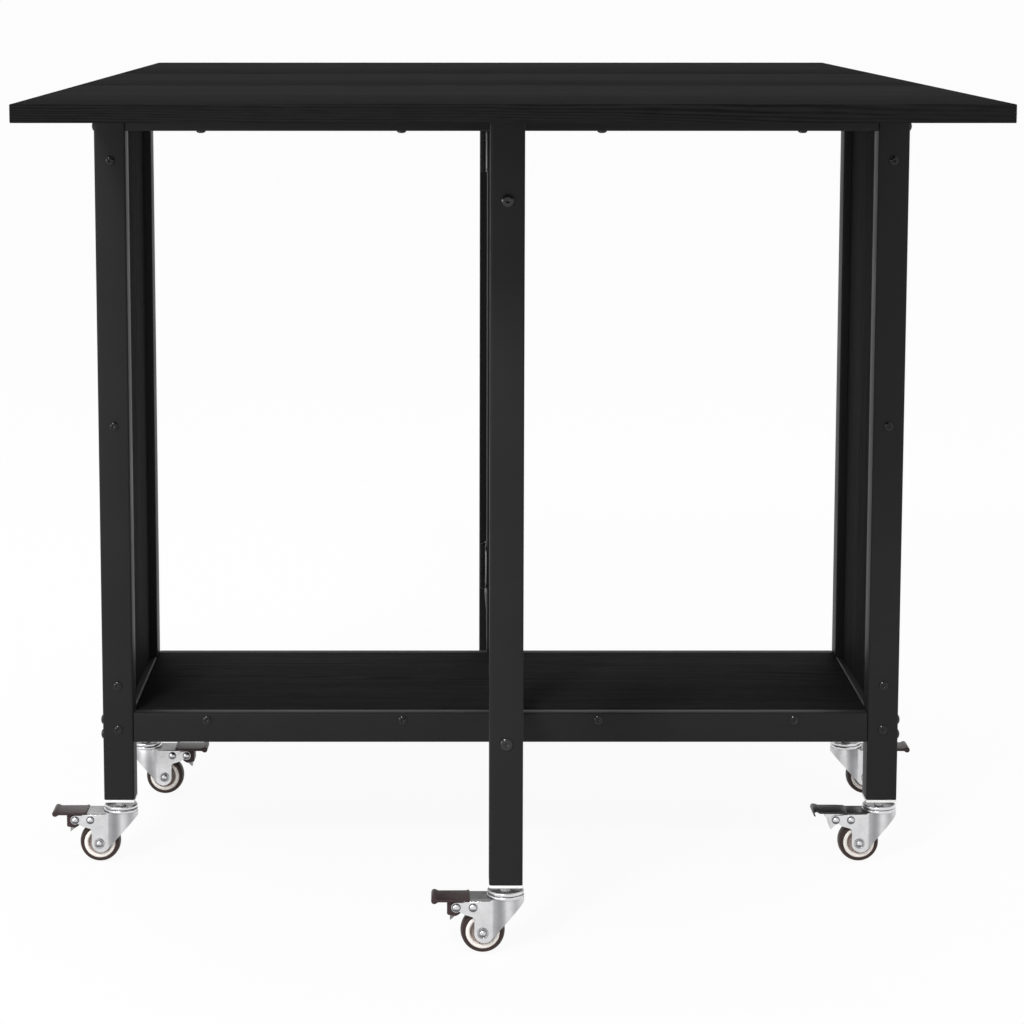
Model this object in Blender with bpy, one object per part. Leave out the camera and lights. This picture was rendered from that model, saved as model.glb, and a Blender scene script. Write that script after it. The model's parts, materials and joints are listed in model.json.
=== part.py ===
"""Folding dining table: a drop-leaf top on a tube frame with swing-out gate legs and braked casters.

Metres, +Z up. The origin is on the floor under the middle of the top, X runs along the leaf hinges
and -Y points to the front. Half a turn about Z brings the table onto itself, so the pieces of the
front half are made once more, turned, for the rear half.
"""

import math

import bmesh
import bpy
from mathutils import Matrix, Vector

# Top
TOP_WIDTH = 0.800
TOP_LENGTH = 1.200
TABLE_HEIGHT = 0.767
BOARD = 0.015
BOARD_EASE = 0.0008
LEAF_GAP = 0.002

# Frame
SIDE_OVERHANG = 0.010
FRAME_DEPTH = 0.270
LEG_TUBE = 0.030
RAIL_HEIGHT = 0.030
RAIL_DEPTH = 0.015
POST_WIDTH = 0.020
TUBE_WALL = 0.0015
TUBE_CORNER = 0.002
SHELF_HEIGHT = 0.153
SEAT_GAP = 0.0003
JOIN_LAP = 0.0005

# Gates
GATE_REACH = 0.392
FOLD_CLEARANCE = 0.0025
GATE_RAIL_HEIGHT = 0.030
UPPER_RAIL_DROP = 0.076
LOWER_RAIL_RISE = 0.041
STILE_CLEARANCE = 0.006

# Hinges
HINGE_PLATE = 0.0015
KNUCKLE_RADIUS = 0.0035
HINGE_PIN_RADIUS = 0.0015
PIN_CLEARANCE = 0.0003
KNUCKLE_GAP = 0.0004
GATE_HINGE_LENGTH = 0.048
GATE_HINGE_REACH = 0.018
UPPER_HINGE_DROP = 0.062
LOWER_HINGE_RISE = 0.091
LEAF_HINGE_LENGTH = 0.060
LEAF_HINGE_REACH = 0.026

# Casters
WHEEL_DIAMETER = 0.040
WHEEL_WIDTH = 0.017
TYRE_SHOULDER = 0.002
RIM_RADIUS = 0.0114
RIM_RECESS = 0.0045
HUB_RADIUS = 0.0070
AXLE_RADIUS = 0.003
AXLE_HEAD_RADIUS = 0.0046
RIVET_HEIGHT = 0.0018
TRAIL = 0.0205
SIDE_CLEARANCE = 0.0025
CASTER_STACK = 0.025
INSERT_FLANGE = 0.003
INSERT_PLUG = 0.022
RACE_RADIUS = 0.0165
RACE_HEIGHT = 0.0075
RACE_NECK = 0.011
KINGPIN_RADIUS = 0.004
KINGPIN_HEAD_RADIUS = 0.006
KINGPIN_HEAD = 0.0025
CROWN_RADIUS = 0.0155
CROWN = 0.0025
FORK_SHEET = 0.0015
NOSE_RADIUS = 0.011
NOSE_LIP = 0.004
NOSE_WRAP_DEGREES = 100
PLATE_DROP = 0.002
CROWN_NECK = 0.0124
FORK_END_RADIUS = 0.0085
FORK_BEND = 0.010
ARM_END_RADIUS = 0.0045
ARM_SHOULDER = 0.008
ARM_CLEARANCE = 0.0135
ARM_END_DEGREES = -50
BRAKE_PIN_RADIUS = 0.002
BRAKE_RIVET_RADIUS = 0.0036
STOP_RIVET_OFFSET = 0.015
PEDAL_LENGTH = 0.0297
PEDAL_TIP = 0.0225
PEDAL_WIDTH = 0.028
PEDAL_THICKNESS = 0.0028
PEDAL_EASE = 0.0008
LEVER_WIDTH = 0.020
LEVER_SHEET = 0.0015
LEVER_GAP = 0.0008
BLOCK_BACK = 0.0083
BLOCK_DROP = 0.0075
SHOE_GAP = 0.0018
SHOE_DEGREES = (141, 150)

# Values worked out from the sizes above
UNDERSIDE = TABLE_HEIGHT - BOARD
FRAME_WIDTH = TOP_WIDTH - 2 * SIDE_OVERHANG
LEG_X = (FRAME_WIDTH - LEG_TUBE) / 2
LEG_Y = (FRAME_DEPTH - LEG_TUBE) / 2
INNER_X = FRAME_WIDTH / 2 - LEG_TUBE
INNER_Y = FRAME_DEPTH / 2 - LEG_TUBE
FACE_Y = FRAME_DEPTH / 2
FRAME_TOP = UNDERSIDE - SEAT_GAP
RAIL_BASE = UNDERSIDE - RAIL_HEIGHT
POCKET = FOLD_CLEARANCE + LEG_TUBE + FOLD_CLEARANCE
CENTRE_DEPTH = FRAME_DEPTH + 2 * POCKET
LEAF_DEPTH = (TOP_LENGTH - CENTRE_DEPTH) / 2 - LEAF_GAP
LEAF_AXIS_Y = (CENTRE_DEPTH + LEAF_GAP) / 2
LEAF_AXIS_Z = FRAME_TOP - KNUCKLE_RADIUS
LEAF_HINGE_X = INNER_X - LEAF_HINGE_LENGTH / 2
GATE_AXIS_X = POST_WIDTH / 2 + SEAT_GAP + KNUCKLE_RADIUS
GATE_AXIS_Y = FACE_Y + FOLD_CLEARANCE + LEG_TUBE / 2 - GATE_AXIS_X
STILE_BACK = 2 * GATE_AXIS_Y - FACE_Y
GATE_LEG_BACK = GATE_REACH - LEG_TUBE / 2
UPPER_RAIL_Z = UNDERSIDE - UPPER_RAIL_DROP
LOWER_RAIL_Z = SHELF_HEIGHT + LOWER_RAIL_RISE
UPPER_HINGE_Z = UNDERSIDE - UPPER_HINGE_DROP
LOWER_HINGE_Z = SHELF_HEIGHT + LOWER_HINGE_RISE
PIN_BORE_RADIUS = HINGE_PIN_RADIUS + PIN_CLEARANCE

WHEEL_RADIUS = WHEEL_DIAMETER / 2
CASTER_HEIGHT = WHEEL_DIAMETER + CASTER_STACK
INSERT_BASE = CASTER_HEIGHT - SEAT_GAP - INSERT_FLANGE
RACE_BASE = INSERT_BASE - RACE_HEIGHT
CROWN_TOP = RACE_BASE - SEAT_GAP
CROWN_BASE = CROWN_TOP - CROWN
FORK_TOP = CROWN_BASE + JOIN_LAP
PLATE_TOP = CROWN_BASE - PLATE_DROP
FORK_INNER = WHEEL_WIDTH / 2 + SIDE_CLEARANCE
FORK_HALF = FORK_INNER + FORK_SHEET
NOSE_X = CROWN_RADIUS - NOSE_RADIUS
AXLE_X = -TRAIL
AXLE_Z = WHEEL_RADIUS
BRAKE_DISTANCE = WHEEL_RADIUS + ARM_CLEARANCE
BRAKE_X = AXLE_X - BRAKE_DISTANCE * math.sqrt(0.5)
BRAKE_Z = AXLE_Z + BRAKE_DISTANCE * math.sqrt(0.5)
PEDAL_BASE = BRAKE_Z + ARM_END_RADIUS + LEVER_GAP

ROUND_STEPS = 20
SMALL_STEPS = 12
RIVET_STEPS = 8
ARC_STEPS = 4
SMOOTH_ANGLE = math.radians(35)
MERGE_DISTANCE = 1e-6

COLOURS = {
    "board_black": ((0.020, 0.020, 0.021), 0.55, 0.0),
    "tube_black": ((0.028, 0.028, 0.030), 0.45, 0.0),
    "zinc": ((0.72, 0.72, 0.73), 0.30, 1.0),
    "insert_white": ((0.86, 0.86, 0.85), 0.50, 0.0),
    "tyre_brown": ((0.040, 0.030, 0.027), 0.60, 0.0),
    "pedal_brown": ((0.045, 0.032, 0.030), 0.50, 0.0),
}


def clear_scene():
    """Removes whatever the open scene holds."""
    for old in list(bpy.data.objects):
        bpy.data.objects.remove(old)


def finish(name):
    """The material of this name, made on its first use."""
    if name in bpy.data.materials:
        return bpy.data.materials[name]
    colour, roughness, metallic = COLOURS[name]
    made = bpy.data.materials.new(name)
    made.use_nodes = True
    shader = made.node_tree.nodes["Principled BSDF"]
    shader.inputs["Base Color"].default_value = (*colour, 1)
    shader.inputs["Roughness"].default_value = roughness
    shader.inputs["Metallic"].default_value = metallic
    made.diffuse_color = (*colour, 1)
    return made


def mesh_of(bm):
    """A mesh with its faces out and its round faces smooth, from a bmesh that is then freed."""
    bmesh.ops.recalc_face_normals(bm, faces=bm.faces[:])
    mesh = bpy.data.meshes.new("shape")
    bm.to_mesh(mesh)
    bm.free()
    mesh.shade_smooth()
    mesh.set_sharp_from_angle(angle=SMOOTH_ANGLE)
    return mesh


def cube_between(low, high):
    """A bmesh box between two corners."""
    low, high = Vector(low), Vector(high)
    bm = bmesh.new()
    bmesh.ops.create_cube(bm, size=1)
    bmesh.ops.scale(bm, vec=high - low, verts=bm.verts[:])
    bmesh.ops.translate(bm, vec=(low + high) / 2, verts=bm.verts[:])
    return bm


def box(low, high, ease=0.0):
    """A box mesh, with its edges broken by ease."""
    bm = cube_between(low, high)
    if ease:
        bmesh.ops.bevel(
            bm, geom=bm.edges[:], offset=ease, segments=1, profile=0.5, affect="EDGES", material=-1
        )
    return mesh_of(bm)


def tube(low, high, axis):
    """A steel tube with rounded corners, open at both ends, along axis 0, 1 or 2."""
    bm = cube_between(low, high)
    length = high[axis] - low[axis]
    long_edges = []
    for edge in bm.edges:
        run = edge.verts[1].co - edge.verts[0].co
        if abs(run[axis]) > length / 2:
            long_edges.append(edge)
    bmesh.ops.bevel(
        bm, geom=long_edges, offset=TUBE_CORNER, segments=2, profile=0.5, affect="EDGES", material=-1
    )
    in_order = sorted(bm.faces, key=lambda face: face.calc_center_median()[axis])
    bmesh.ops.delete(bm, geom=[in_order[0], in_order[-1]], context="FACES_ONLY")
    bmesh.ops.recalc_face_normals(bm, faces=bm.faces[:])
    bmesh.ops.solidify(bm, geom=bm.faces[:], thickness=TUBE_WALL)
    return mesh_of(bm)


def arc(centre, radius, start, end, steps=ARC_STEPS):
    """Points on an arc between two angles in degrees."""
    points = []
    for step in range(steps + 1):
        angle = math.radians(start + (end - start) * step / steps)
        points.append((centre[0] + radius * math.cos(angle), centre[1] + radius * math.sin(angle)))
    return points


def lathe(profile, axis, steps=ROUND_STEPS):
    """A closed profile of (radius, height) points turned about Z, or laid along Y with axis 1."""
    bm = bmesh.new()
    ring = [bm.verts.new((radius, 0, height)) for radius, height in profile]
    edges = [bm.edges.new((vert, ring[index - 1])) for index, vert in enumerate(ring)]
    bmesh.ops.spin(
        bm, geom=ring + edges, cent=(0, 0, 0), axis=(0, 0, 1), angle=math.tau, steps=steps, use_merge=True
    )
    bmesh.ops.remove_doubles(bm, verts=bm.verts[:], dist=MERGE_DISTANCE)
    if axis == 1:
        bmesh.ops.rotate(bm, matrix=Matrix.Rotation(math.pi / 2, 3, "X"), verts=bm.verts[:])
    return mesh_of(bm)


def rod(radius, start, end, steps=SMALL_STEPS):
    """A round bar between two points."""
    start, end = Vector(start), Vector(end)
    run = end - start
    bm = bmesh.new()
    bmesh.ops.create_cone(
        bm, cap_ends=True, segments=steps, radius1=radius, radius2=radius, depth=run.length
    )
    turn = Vector((0, 0, 1)).rotation_difference(run).to_matrix()
    bmesh.ops.rotate(bm, matrix=turn, verts=bm.verts[:])
    bmesh.ops.translate(bm, vec=(start + end) / 2, verts=bm.verts[:])
    return mesh_of(bm)


def prism(outline, half_width):
    """An outline of (x, z) points, as a plate that reaches half_width either way along Y."""
    bm = bmesh.new()
    corners = [bm.verts.new((x, -half_width, z)) for x, z in outline]
    face = bm.faces.new(corners)
    grown = bmesh.ops.extrude_face_region(bm, geom=[face], use_keep_orig=True)
    moved = [item for item in grown["geom"] if isinstance(item, bmesh.types.BMVert)]
    bmesh.ops.translate(bm, vec=(0, 2 * half_width, 0), verts=moved)
    return mesh_of(bm)


def combine(base, others, operation):
    """The mesh that a Boolean of this operation leaves of base and the other meshes."""
    target = bpy.data.objects.new("target", base)
    bpy.context.scene.collection.objects.link(target)
    helpers = [target]
    for other in others:
        helper = bpy.data.objects.new("operand", other)
        bpy.context.scene.collection.objects.link(helper)
        helper.hide_render = True
        helper.display_type = "WIRE"
        helpers.append(helper)
        step = target.modifiers.new("step", "BOOLEAN")
        step.object = helper
        step.operation = operation
        step.solver = "EXACT"
    graph = bpy.context.evaluated_depsgraph_get()
    result = bpy.data.meshes.new_from_object(target.evaluated_get(graph))
    for helper in helpers:
        bpy.data.objects.remove(helper)
    return result


def empty(name, parent=None, place=(0, 0, 0), turn=0.0):
    """An empty that carries pieces: a half of the table, or a joint's axis."""
    made = bpy.data.objects.new(name, None)
    bpy.context.scene.collection.objects.link(made)
    made.parent = parent
    made.location = place
    made.rotation_euler.z = turn
    return made


def piece(name, mesh, finish_name, parent, place=(0, 0, 0)):
    """One named sub-part."""
    mesh = mesh.copy()
    mesh.name = name
    mesh.materials.clear()
    mesh.materials.append(finish(finish_name))
    made = bpy.data.objects.new(name, mesh)
    bpy.context.scene.collection.objects.link(made)
    made.parent = parent
    made.location = place
    return made


def hands_of(side, distance):
    """The left and right piece of a half with their X in that half, which is turned at the rear."""
    turned = 1 if side == "front" else -1
    return (("left", -turned * distance), ("right", turned * distance))


def build_top(table, halves):
    """The centre board, and each leaf on an empty that lies on its hinge line."""
    half_width = TOP_WIDTH / 2
    low = (-half_width, -CENTRE_DEPTH / 2, UNDERSIDE)
    high = (half_width, CENTRE_DEPTH / 2, TABLE_HEIGHT)
    piece("centre_top", box(low, high, BOARD_EASE), "board_black", table)
    inner_edge = CENTRE_DEPTH / 2 + LEAF_GAP - LEAF_AXIS_Y
    low = (-half_width, -inner_edge - LEAF_DEPTH, UNDERSIDE - LEAF_AXIS_Z)
    high = (half_width, -inner_edge, TABLE_HEIGHT - LEAF_AXIS_Z)
    leaf = box(low, high, BOARD_EASE)
    for side, half in halves.items():
        hinge_line = empty(f"{side}_leaf_hinge_line", half, (0, -LEAF_AXIS_Y, LEAF_AXIS_Z))
        piece(f"{side}_leaf", leaf, "board_black", hinge_line)
        build_leaf_hinges(side, half, hinge_line)


def hinge_plate(length, reach, side):
    """A hinge plate under a board, reaching to side +1 or -1 of Y from the knuckle line along X."""
    top = KNUCKLE_RADIUS
    near = KNUCKLE_RADIUS + KNUCKLE_GAP
    edges = sorted((side * near, side * reach))
    return box((-length / 2, edges[0], top - HINGE_PLATE), (length / 2, edges[1], top))


def hinge_tab(start, end, side):
    """The strip that joins a plate to its knuckle between two places along X."""
    top = KNUCKLE_RADIUS
    lap = KNUCKLE_RADIUS + 2 * KNUCKLE_GAP
    edges = sorted((0, side * lap))
    return box((start, edges[0], top - HINGE_PLATE), (end, edges[1], top))


def knuckle_ends(length):
    """Where the middle knuckle ends and the outer knuckles start, either side of the middle."""
    third = length / 6
    return third - KNUCKLE_GAP / 2, third + KNUCKLE_GAP / 2


def pinned_half(length, reach, side):
    """A hinge plate with its two outer knuckles and the pin that is fixed in them."""
    _, inner = knuckle_ends(length)
    shapes = [rod(HINGE_PIN_RADIUS, (-length / 2 + KNUCKLE_GAP, 0, 0), (length / 2 - KNUCKLE_GAP, 0, 0))]
    for start, end in ((-length / 2, -inner), (inner, length / 2)):
        shapes.append(rod(KNUCKLE_RADIUS, (start, 0, 0), (end, 0, 0)))
        shapes.append(hinge_tab(start, end, side))
    return combine(hinge_plate(length, reach, side), shapes, "UNION")


def bored_half(length, reach, side):
    """A hinge plate with the middle knuckle, which turns on the pin."""
    middle, _ = knuckle_ends(length)
    shapes = [rod(KNUCKLE_RADIUS, (-middle, 0, 0), (middle, 0, 0)), hinge_tab(-middle, middle, side)]
    solid = combine(hinge_plate(length, reach, side), shapes, "UNION")
    bore = rod(PIN_BORE_RADIUS, (-length, 0, 0), (length, 0, 0))
    return combine(solid, [bore], "DIFFERENCE")


def build_leaf_hinges(side, half, hinge_line):
    """Two butt hinges under each leaf: the pinned plate on the centre board, the bored one on the leaf."""
    fixed = pinned_half(LEAF_HINGE_LENGTH, LEAF_HINGE_REACH, 1)
    moving = bored_half(LEAF_HINGE_LENGTH, LEAF_HINGE_REACH, -1)
    for hand, x in hands_of(side, LEAF_HINGE_X):
        place = (x, -LEAF_AXIS_Y, LEAF_AXIS_Z)
        piece(f"leaf_hinge_{side}_{hand}_fixed", fixed, "zinc", half, place)
        piece(f"leaf_hinge_{side}_{hand}_moving", moving, "zinc", hinge_line, (x, 0, 0))


def build_frame(table, halves):
    """Legs, rails, shelf, end panels and hinge posts."""
    tube_half = LEG_TUBE / 2
    leg = tube((-tube_half, -tube_half, CASTER_HEIGHT), (tube_half, tube_half, FRAME_TOP), 2)
    rail_end = INNER_X - SEAT_GAP
    long_rail = tube((-rail_end, -FACE_Y, 0), (rail_end, RAIL_DEPTH - FACE_Y, RAIL_HEIGHT - SEAT_GAP), 0)
    short_end = INNER_Y - SEAT_GAP
    short_rail = tube((-tube_half, -short_end, 0), (tube_half, short_end, RAIL_HEIGHT - SEAT_GAP), 1)
    shelf_base = SHELF_HEIGHT - RAIL_HEIGHT
    panel_low = (-BOARD / 2, -short_end, SHELF_HEIGHT)
    panel_high = (BOARD / 2, short_end, RAIL_BASE - SEAT_GAP)
    panel = box(panel_low, panel_high, BOARD_EASE)
    post_half = POST_WIDTH / 2
    post_low = (-post_half, -FACE_Y, SHELF_HEIGHT)
    post = tube(post_low, (post_half, RAIL_DEPTH - FACE_Y, RAIL_BASE - SEAT_GAP), 2)
    for side, half in halves.items():
        for hand, x in hands_of(side, LEG_X):
            piece(f"leg_{side}_{hand}", leg, "tube_black", half, (x, -LEG_Y, 0))
        piece(f"top_rail_{side}", long_rail, "tube_black", half, (0, 0, RAIL_BASE))
        piece(f"shelf_rail_{side}", long_rail, "tube_black", half, (0, 0, shelf_base))
        piece(f"hinge_post_{side}", post, "tube_black", half)
    for hand, x in (("left", -LEG_X), ("right", LEG_X)):
        piece(f"top_rail_{hand}", short_rail, "tube_black", table, (x, 0, RAIL_BASE))
        piece(f"shelf_rail_{hand}", short_rail, "tube_black", table, (x, 0, shelf_base))
        piece(f"end_panel_{hand}", panel, "board_black", table, (x, 0, 0))
    shelf_y = FACE_Y - RAIL_DEPTH - SEAT_GAP
    shelf_top = SHELF_HEIGHT - SEAT_GAP
    shelf = box((-rail_end, -shelf_y, shelf_top - BOARD), (rail_end, shelf_y, shelf_top), BOARD_EASE)
    piece("shelf_board", shelf, "board_black", table)


def upright_hinge(shape):
    """A hinge half stood upright, its plate on the +X side of what it is fixed to."""
    turned = shape.copy()
    stand = Matrix.Rotation(-math.pi / 2, 4, "Y")
    turned.transform(stand)
    return turned


def gate_frame():
    """The welded gate frame: stile, two rails and the bored hinge halves, from the gate's axis."""
    half = POST_WIDTH / 2
    middle = -GATE_AXIS_X
    back = GATE_AXIS_Y - STILE_BACK
    front = back - POST_WIDTH
    bottom = SHELF_HEIGHT + STILE_CLEARANCE
    top = RAIL_BASE - STILE_CLEARANCE
    stile = tube((middle - half, front, bottom), (middle + half, back, top), 2)
    rail_end = GATE_AXIS_Y - GATE_LEG_BACK + SEAT_GAP
    rail_start = front + TUBE_WALL / 2
    shapes = []
    for height in (UPPER_RAIL_Z, LOWER_RAIL_Z):
        low = (middle - half, rail_end, height - GATE_RAIL_HEIGHT / 2)
        high = (middle + half, rail_start, height + GATE_RAIL_HEIGHT / 2)
        shapes.append(tube(low, high, 1))
    weld = SEAT_GAP + TUBE_WALL / 2
    for height in (UPPER_HINGE_Z, LOWER_HINGE_Z):
        half_hinge = upright_hinge(bored_half(GATE_HINGE_LENGTH, GATE_HINGE_REACH, -1))
        half_hinge.transform(Matrix.Translation((0, 0, height)))
        shapes.append(half_hinge)
        pad_low = (middle + half - TUBE_WALL / 2, -GATE_HINGE_REACH, height - GATE_HINGE_LENGTH / 2)
        pad_high = (middle + half + weld, back - TUBE_CORNER, height + GATE_HINGE_LENGTH / 2)
        shapes.append(box(pad_low, pad_high))
    return combine(stile, shapes, "UNION")


def build_gates(halves, caster):
    """The gates, each on an empty on its hinge axis, with the pinned hinge halves on the post."""
    tube_half = LEG_TUBE / 2
    leg = tube((-tube_half, -tube_half, CASTER_HEIGHT), (tube_half, tube_half, FRAME_TOP), 2)
    frame = gate_frame()
    fixed = upright_hinge(pinned_half(GATE_HINGE_LENGTH, GATE_HINGE_REACH, 1))
    for side, half in halves.items():
        axis = empty(f"{side}_gate_axis", half, (GATE_AXIS_X, -GATE_AXIS_Y, 0))
        leg_place = (-GATE_AXIS_X, GATE_AXIS_Y - GATE_REACH, 0)
        piece(f"gate_frame_{side}", frame, "tube_black", axis)
        piece(f"gate_leg_{side}", leg, "tube_black", axis, leg_place)
        for level, height in (("upper", UPPER_HINGE_Z), ("lower", LOWER_HINGE_Z)):
            name = f"gate_hinge_{side}_{level}"
            piece(name, fixed, "zinc", half, (GATE_AXIS_X, -GATE_AXIS_Y, height))
        caster.build(f"gate_{side}", axis, leg_place)


class Caster:
    """A braked swivel caster about its upright stem, on the floor at 0, with its wheel trailing to -X."""

    def __init__(self):
        self.socket = self.make_socket()
        self.fork = self.make_fork()
        self.wheel = self.make_wheel()
        self.brake = self.make_brake()

    def make_socket(self):
        """The square tube insert with the upper race and the kingpin under it."""
        flange_half = LEG_TUBE / 2
        plug_half = flange_half - TUBE_WALL - SEAT_GAP
        insert_top = INSERT_BASE + INSERT_FLANGE
        flange = box((-flange_half, -flange_half, INSERT_BASE), (flange_half, flange_half, insert_top))
        plug_low = (-plug_half, -plug_half, insert_top - JOIN_LAP)
        plug = box(plug_low, (plug_half, plug_half, CASTER_HEIGHT + INSERT_PLUG))
        head_top = CROWN_BASE - SEAT_GAP
        race_top = INSERT_BASE - SEAT_GAP
        race = rod(RACE_RADIUS, (0, 0, RACE_BASE), (0, 0, race_top), ROUND_STEPS)
        neck = rod(RACE_NECK, (0, 0, race_top - JOIN_LAP), (0, 0, INSERT_BASE + JOIN_LAP))
        kingpin = rod(KINGPIN_RADIUS, (0, 0, head_top - JOIN_LAP), (0, 0, RACE_BASE + JOIN_LAP))
        head = rod(KINGPIN_HEAD_RADIUS, (0, 0, head_top - KINGPIN_HEAD), (0, 0, head_top))
        return combine(flange, [plug, neck, race, kingpin, head], "UNION")

    def side_outline(self):
        """The fork seen from the side: nose lip, slanted front, axle end, brake arm."""
        axle = (AXLE_X, AXLE_Z)
        brake = (BRAKE_X, BRAKE_Z)
        lip = (CROWN_RADIUS + FORK_SHEET, CROWN_BASE - NOSE_LIP)
        slant = math.degrees(math.atan2(lip[1] - AXLE_Z, lip[0] - AXLE_X))
        reach = math.hypot(lip[1] - AXLE_Z, lip[0] - AXLE_X)
        touch = slant - math.degrees(math.acos(FORK_END_RADIUS / reach))
        arm_root = (AXLE_X - FORK_END_RADIUS, BRAKE_Z - 2 * ARM_END_RADIUS)
        arm_corner = (BRAKE_X + ARM_SHOULDER, BRAKE_Z - 1.5 * ARM_END_RADIUS)
        return [
            (CROWN_RADIUS + FORK_SHEET, FORK_TOP),
            lip,
            *arc(axle, FORK_END_RADIUS, touch, -180),
            arm_root,
            arm_corner,
            *arc(brake, ARM_END_RADIUS, ARM_END_DEGREES, -270),
            (BRAKE_X + ARM_SHOULDER, BRAKE_Z + ARM_END_RADIUS),
            (BRAKE_X + ARM_SHOULDER, PLATE_TOP),
            (-CROWN_NECK, PLATE_TOP),
            (-CROWN_NECK, FORK_TOP),
        ]

    def sheet_wall(self):
        """The bent sheet of the fork, seen from above: two side plates drawn in to a round nose."""
        back = BRAKE_X - 2 * ARM_END_RADIUS
        nose = arc((NOSE_X, 0), NOSE_RADIUS, -NOSE_WRAP_DEGREES, NOSE_WRAP_DEGREES, 2 * ARC_STEPS)
        near_side = [(back, -FORK_HALF), (-FORK_BEND, -FORK_HALF)]
        far_side = [(x, -y) for x, y in reversed(near_side)]
        plan = near_side + nose + far_side
        bm = bmesh.new()
        row = [bm.verts.new((x, y, 0)) for x, y in plan]
        edges = [bm.edges.new((row[index], row[index + 1])) for index in range(len(row) - 1)]
        grown = bmesh.ops.extrude_edge_only(bm, edges=edges)
        raised = [item for item in grown["geom"] if isinstance(item, bmesh.types.BMVert)]
        bmesh.ops.translate(bm, vec=(0, 0, CROWN_TOP), verts=raised)
        bmesh.ops.recalc_face_normals(bm, faces=bm.faces[:])
        front = max(bm.faces, key=lambda face: face.calc_center_median().x)
        if front.normal.x < 0:
            bmesh.ops.reverse_faces(bm, faces=bm.faces[:])
        bmesh.ops.solidify(bm, geom=bm.faces[:], thickness=FORK_SHEET)
        return mesh_of(bm)

    def rivet(self, x, z, pin_radius, head_radius):
        """A pin across the fork with a domed head on each side."""
        reach = FORK_HALF + RIVET_HEIGHT
        seat = JOIN_LAP - FORK_HALF
        side = [(0, -reach), (head_radius, -reach), (head_radius, seat), (pin_radius, seat)]
        profile = side + [(radius, -height) for radius, height in reversed(side)]
        shape = lathe(profile, 1, RIVET_STEPS)
        shape.transform(Matrix.Translation((x, 0, z)))
        return shape

    def make_fork(self):
        """The pressed fork with its crown, the riveted axle and the two brake rivets."""
        width = 2 * FORK_HALF
        plates = combine(self.sheet_wall(), [prism(self.side_outline(), width)], "INTERSECT")
        crown = rod(CROWN_RADIUS, (0, 0, CROWN_BASE), (0, 0, CROWN_TOP), ROUND_STEPS)
        shapes = [
            crown,
            self.rivet(AXLE_X, AXLE_Z, AXLE_RADIUS, AXLE_HEAD_RADIUS),
            self.rivet(BRAKE_X, BRAKE_Z, BRAKE_PIN_RADIUS, BRAKE_RIVET_RADIUS),
            self.rivet(BRAKE_X + STOP_RIVET_OFFSET, BRAKE_Z, BRAKE_PIN_RADIUS, BRAKE_RIVET_RADIUS),
        ]
        solid = combine(plates, shapes, "UNION")
        hole = rod(KINGPIN_RADIUS + SEAT_GAP, (0, 0, CROWN_BASE - CROWN), (0, 0, CASTER_HEIGHT))
        return combine(solid, [hole], "DIFFERENCE")

    def make_wheel(self):
        """The wheel about its own axle: crowned tyre, rim face, recessed web and hub."""
        half = WHEEL_WIDTH / 2
        bore = AXLE_RADIUS + SEAT_GAP
        boss = FORK_INNER - SEAT_GAP
        side = [
            (bore, -boss),
            (HUB_RADIUS, -boss),
            (HUB_RADIUS, RIM_RECESS - half),
            (RIM_RADIUS, RIM_RECESS - half),
            (RIM_RADIUS, -half),
            (WHEEL_RADIUS - TYRE_SHOULDER, -half),
            (WHEEL_RADIUS, -half / 2),
        ]
        profile = side + [(radius, -height) for radius, height in reversed(side)]
        return lathe(profile, 1)

    def make_brake(self):
        """The brake about its pivot: plastic pedal, steel lever, and the bored block with its shoe."""
        base = PEDAL_BASE - BRAKE_Z
        tip_x = -PEDAL_TIP
        root_x = PEDAL_LENGTH - PEDAL_TIP
        lever_end = -RACE_RADIUS - FORK_SHEET - BRAKE_X
        pedal_half = PEDAL_WIDTH / 2
        lever_half = LEVER_WIDTH / 2
        block_half = FORK_INNER - SEAT_GAP
        pedal_low = (tip_x, -pedal_half, base)
        pedal = box(pedal_low, (root_x, pedal_half, base + PEDAL_THICKNESS), PEDAL_EASE)
        lever_base = base + (PEDAL_THICKNESS - LEVER_SHEET) / 2
        lever_low = (root_x - PEDAL_EASE - JOIN_LAP, -lever_half, lever_base)
        lever = box(lever_low, (lever_end, lever_half, lever_base + LEVER_SHEET))
        axle = (AXLE_X - BRAKE_X, AXLE_Z - BRAKE_Z)
        shoe = arc(axle, WHEEL_RADIUS + SHOE_GAP, *SHOE_DEGREES, 1)
        block_top = base + PEDAL_EASE + JOIN_LAP
        block_outline = [
            (-BLOCK_BACK, block_top),
            (ARM_END_RADIUS, block_top),
            (ARM_END_RADIUS, -ARM_END_RADIUS / 2),
            *shoe,
            (-BLOCK_BACK, -BLOCK_DROP),
        ]
        block = prism(block_outline, block_half)
        solid = combine(pedal, [lever, block], "UNION")
        bore = rod(BRAKE_PIN_RADIUS + SEAT_GAP, (0, -pedal_half, 0), (0, pedal_half, 0))
        return combine(solid, [bore], "DIFFERENCE")

    def build(self, name, parent, place):
        """One caster on its leg: the socket stays with the leg, the rest hangs from the swivel."""
        piece(f"caster_{name}_socket", self.socket, "insert_white", parent, place)
        swivel = empty(f"caster_{name}_swivel", parent, place)
        piece(f"caster_{name}_fork", self.fork, "zinc", swivel)
        piece(f"caster_{name}_wheel", self.wheel, "tyre_brown", swivel, (AXLE_X, 0, AXLE_Z))
        piece(f"caster_{name}_brake", self.brake, "pedal_brown", swivel, (BRAKE_X, 0, BRAKE_Z))


def build_casters(halves, caster):
    """A caster under each corner leg."""
    for side, half in halves.items():
        for hand, x in hands_of(side, LEG_X):
            caster.build(f"{side}_{hand}", half, (x, -LEG_Y, 0))


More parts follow.
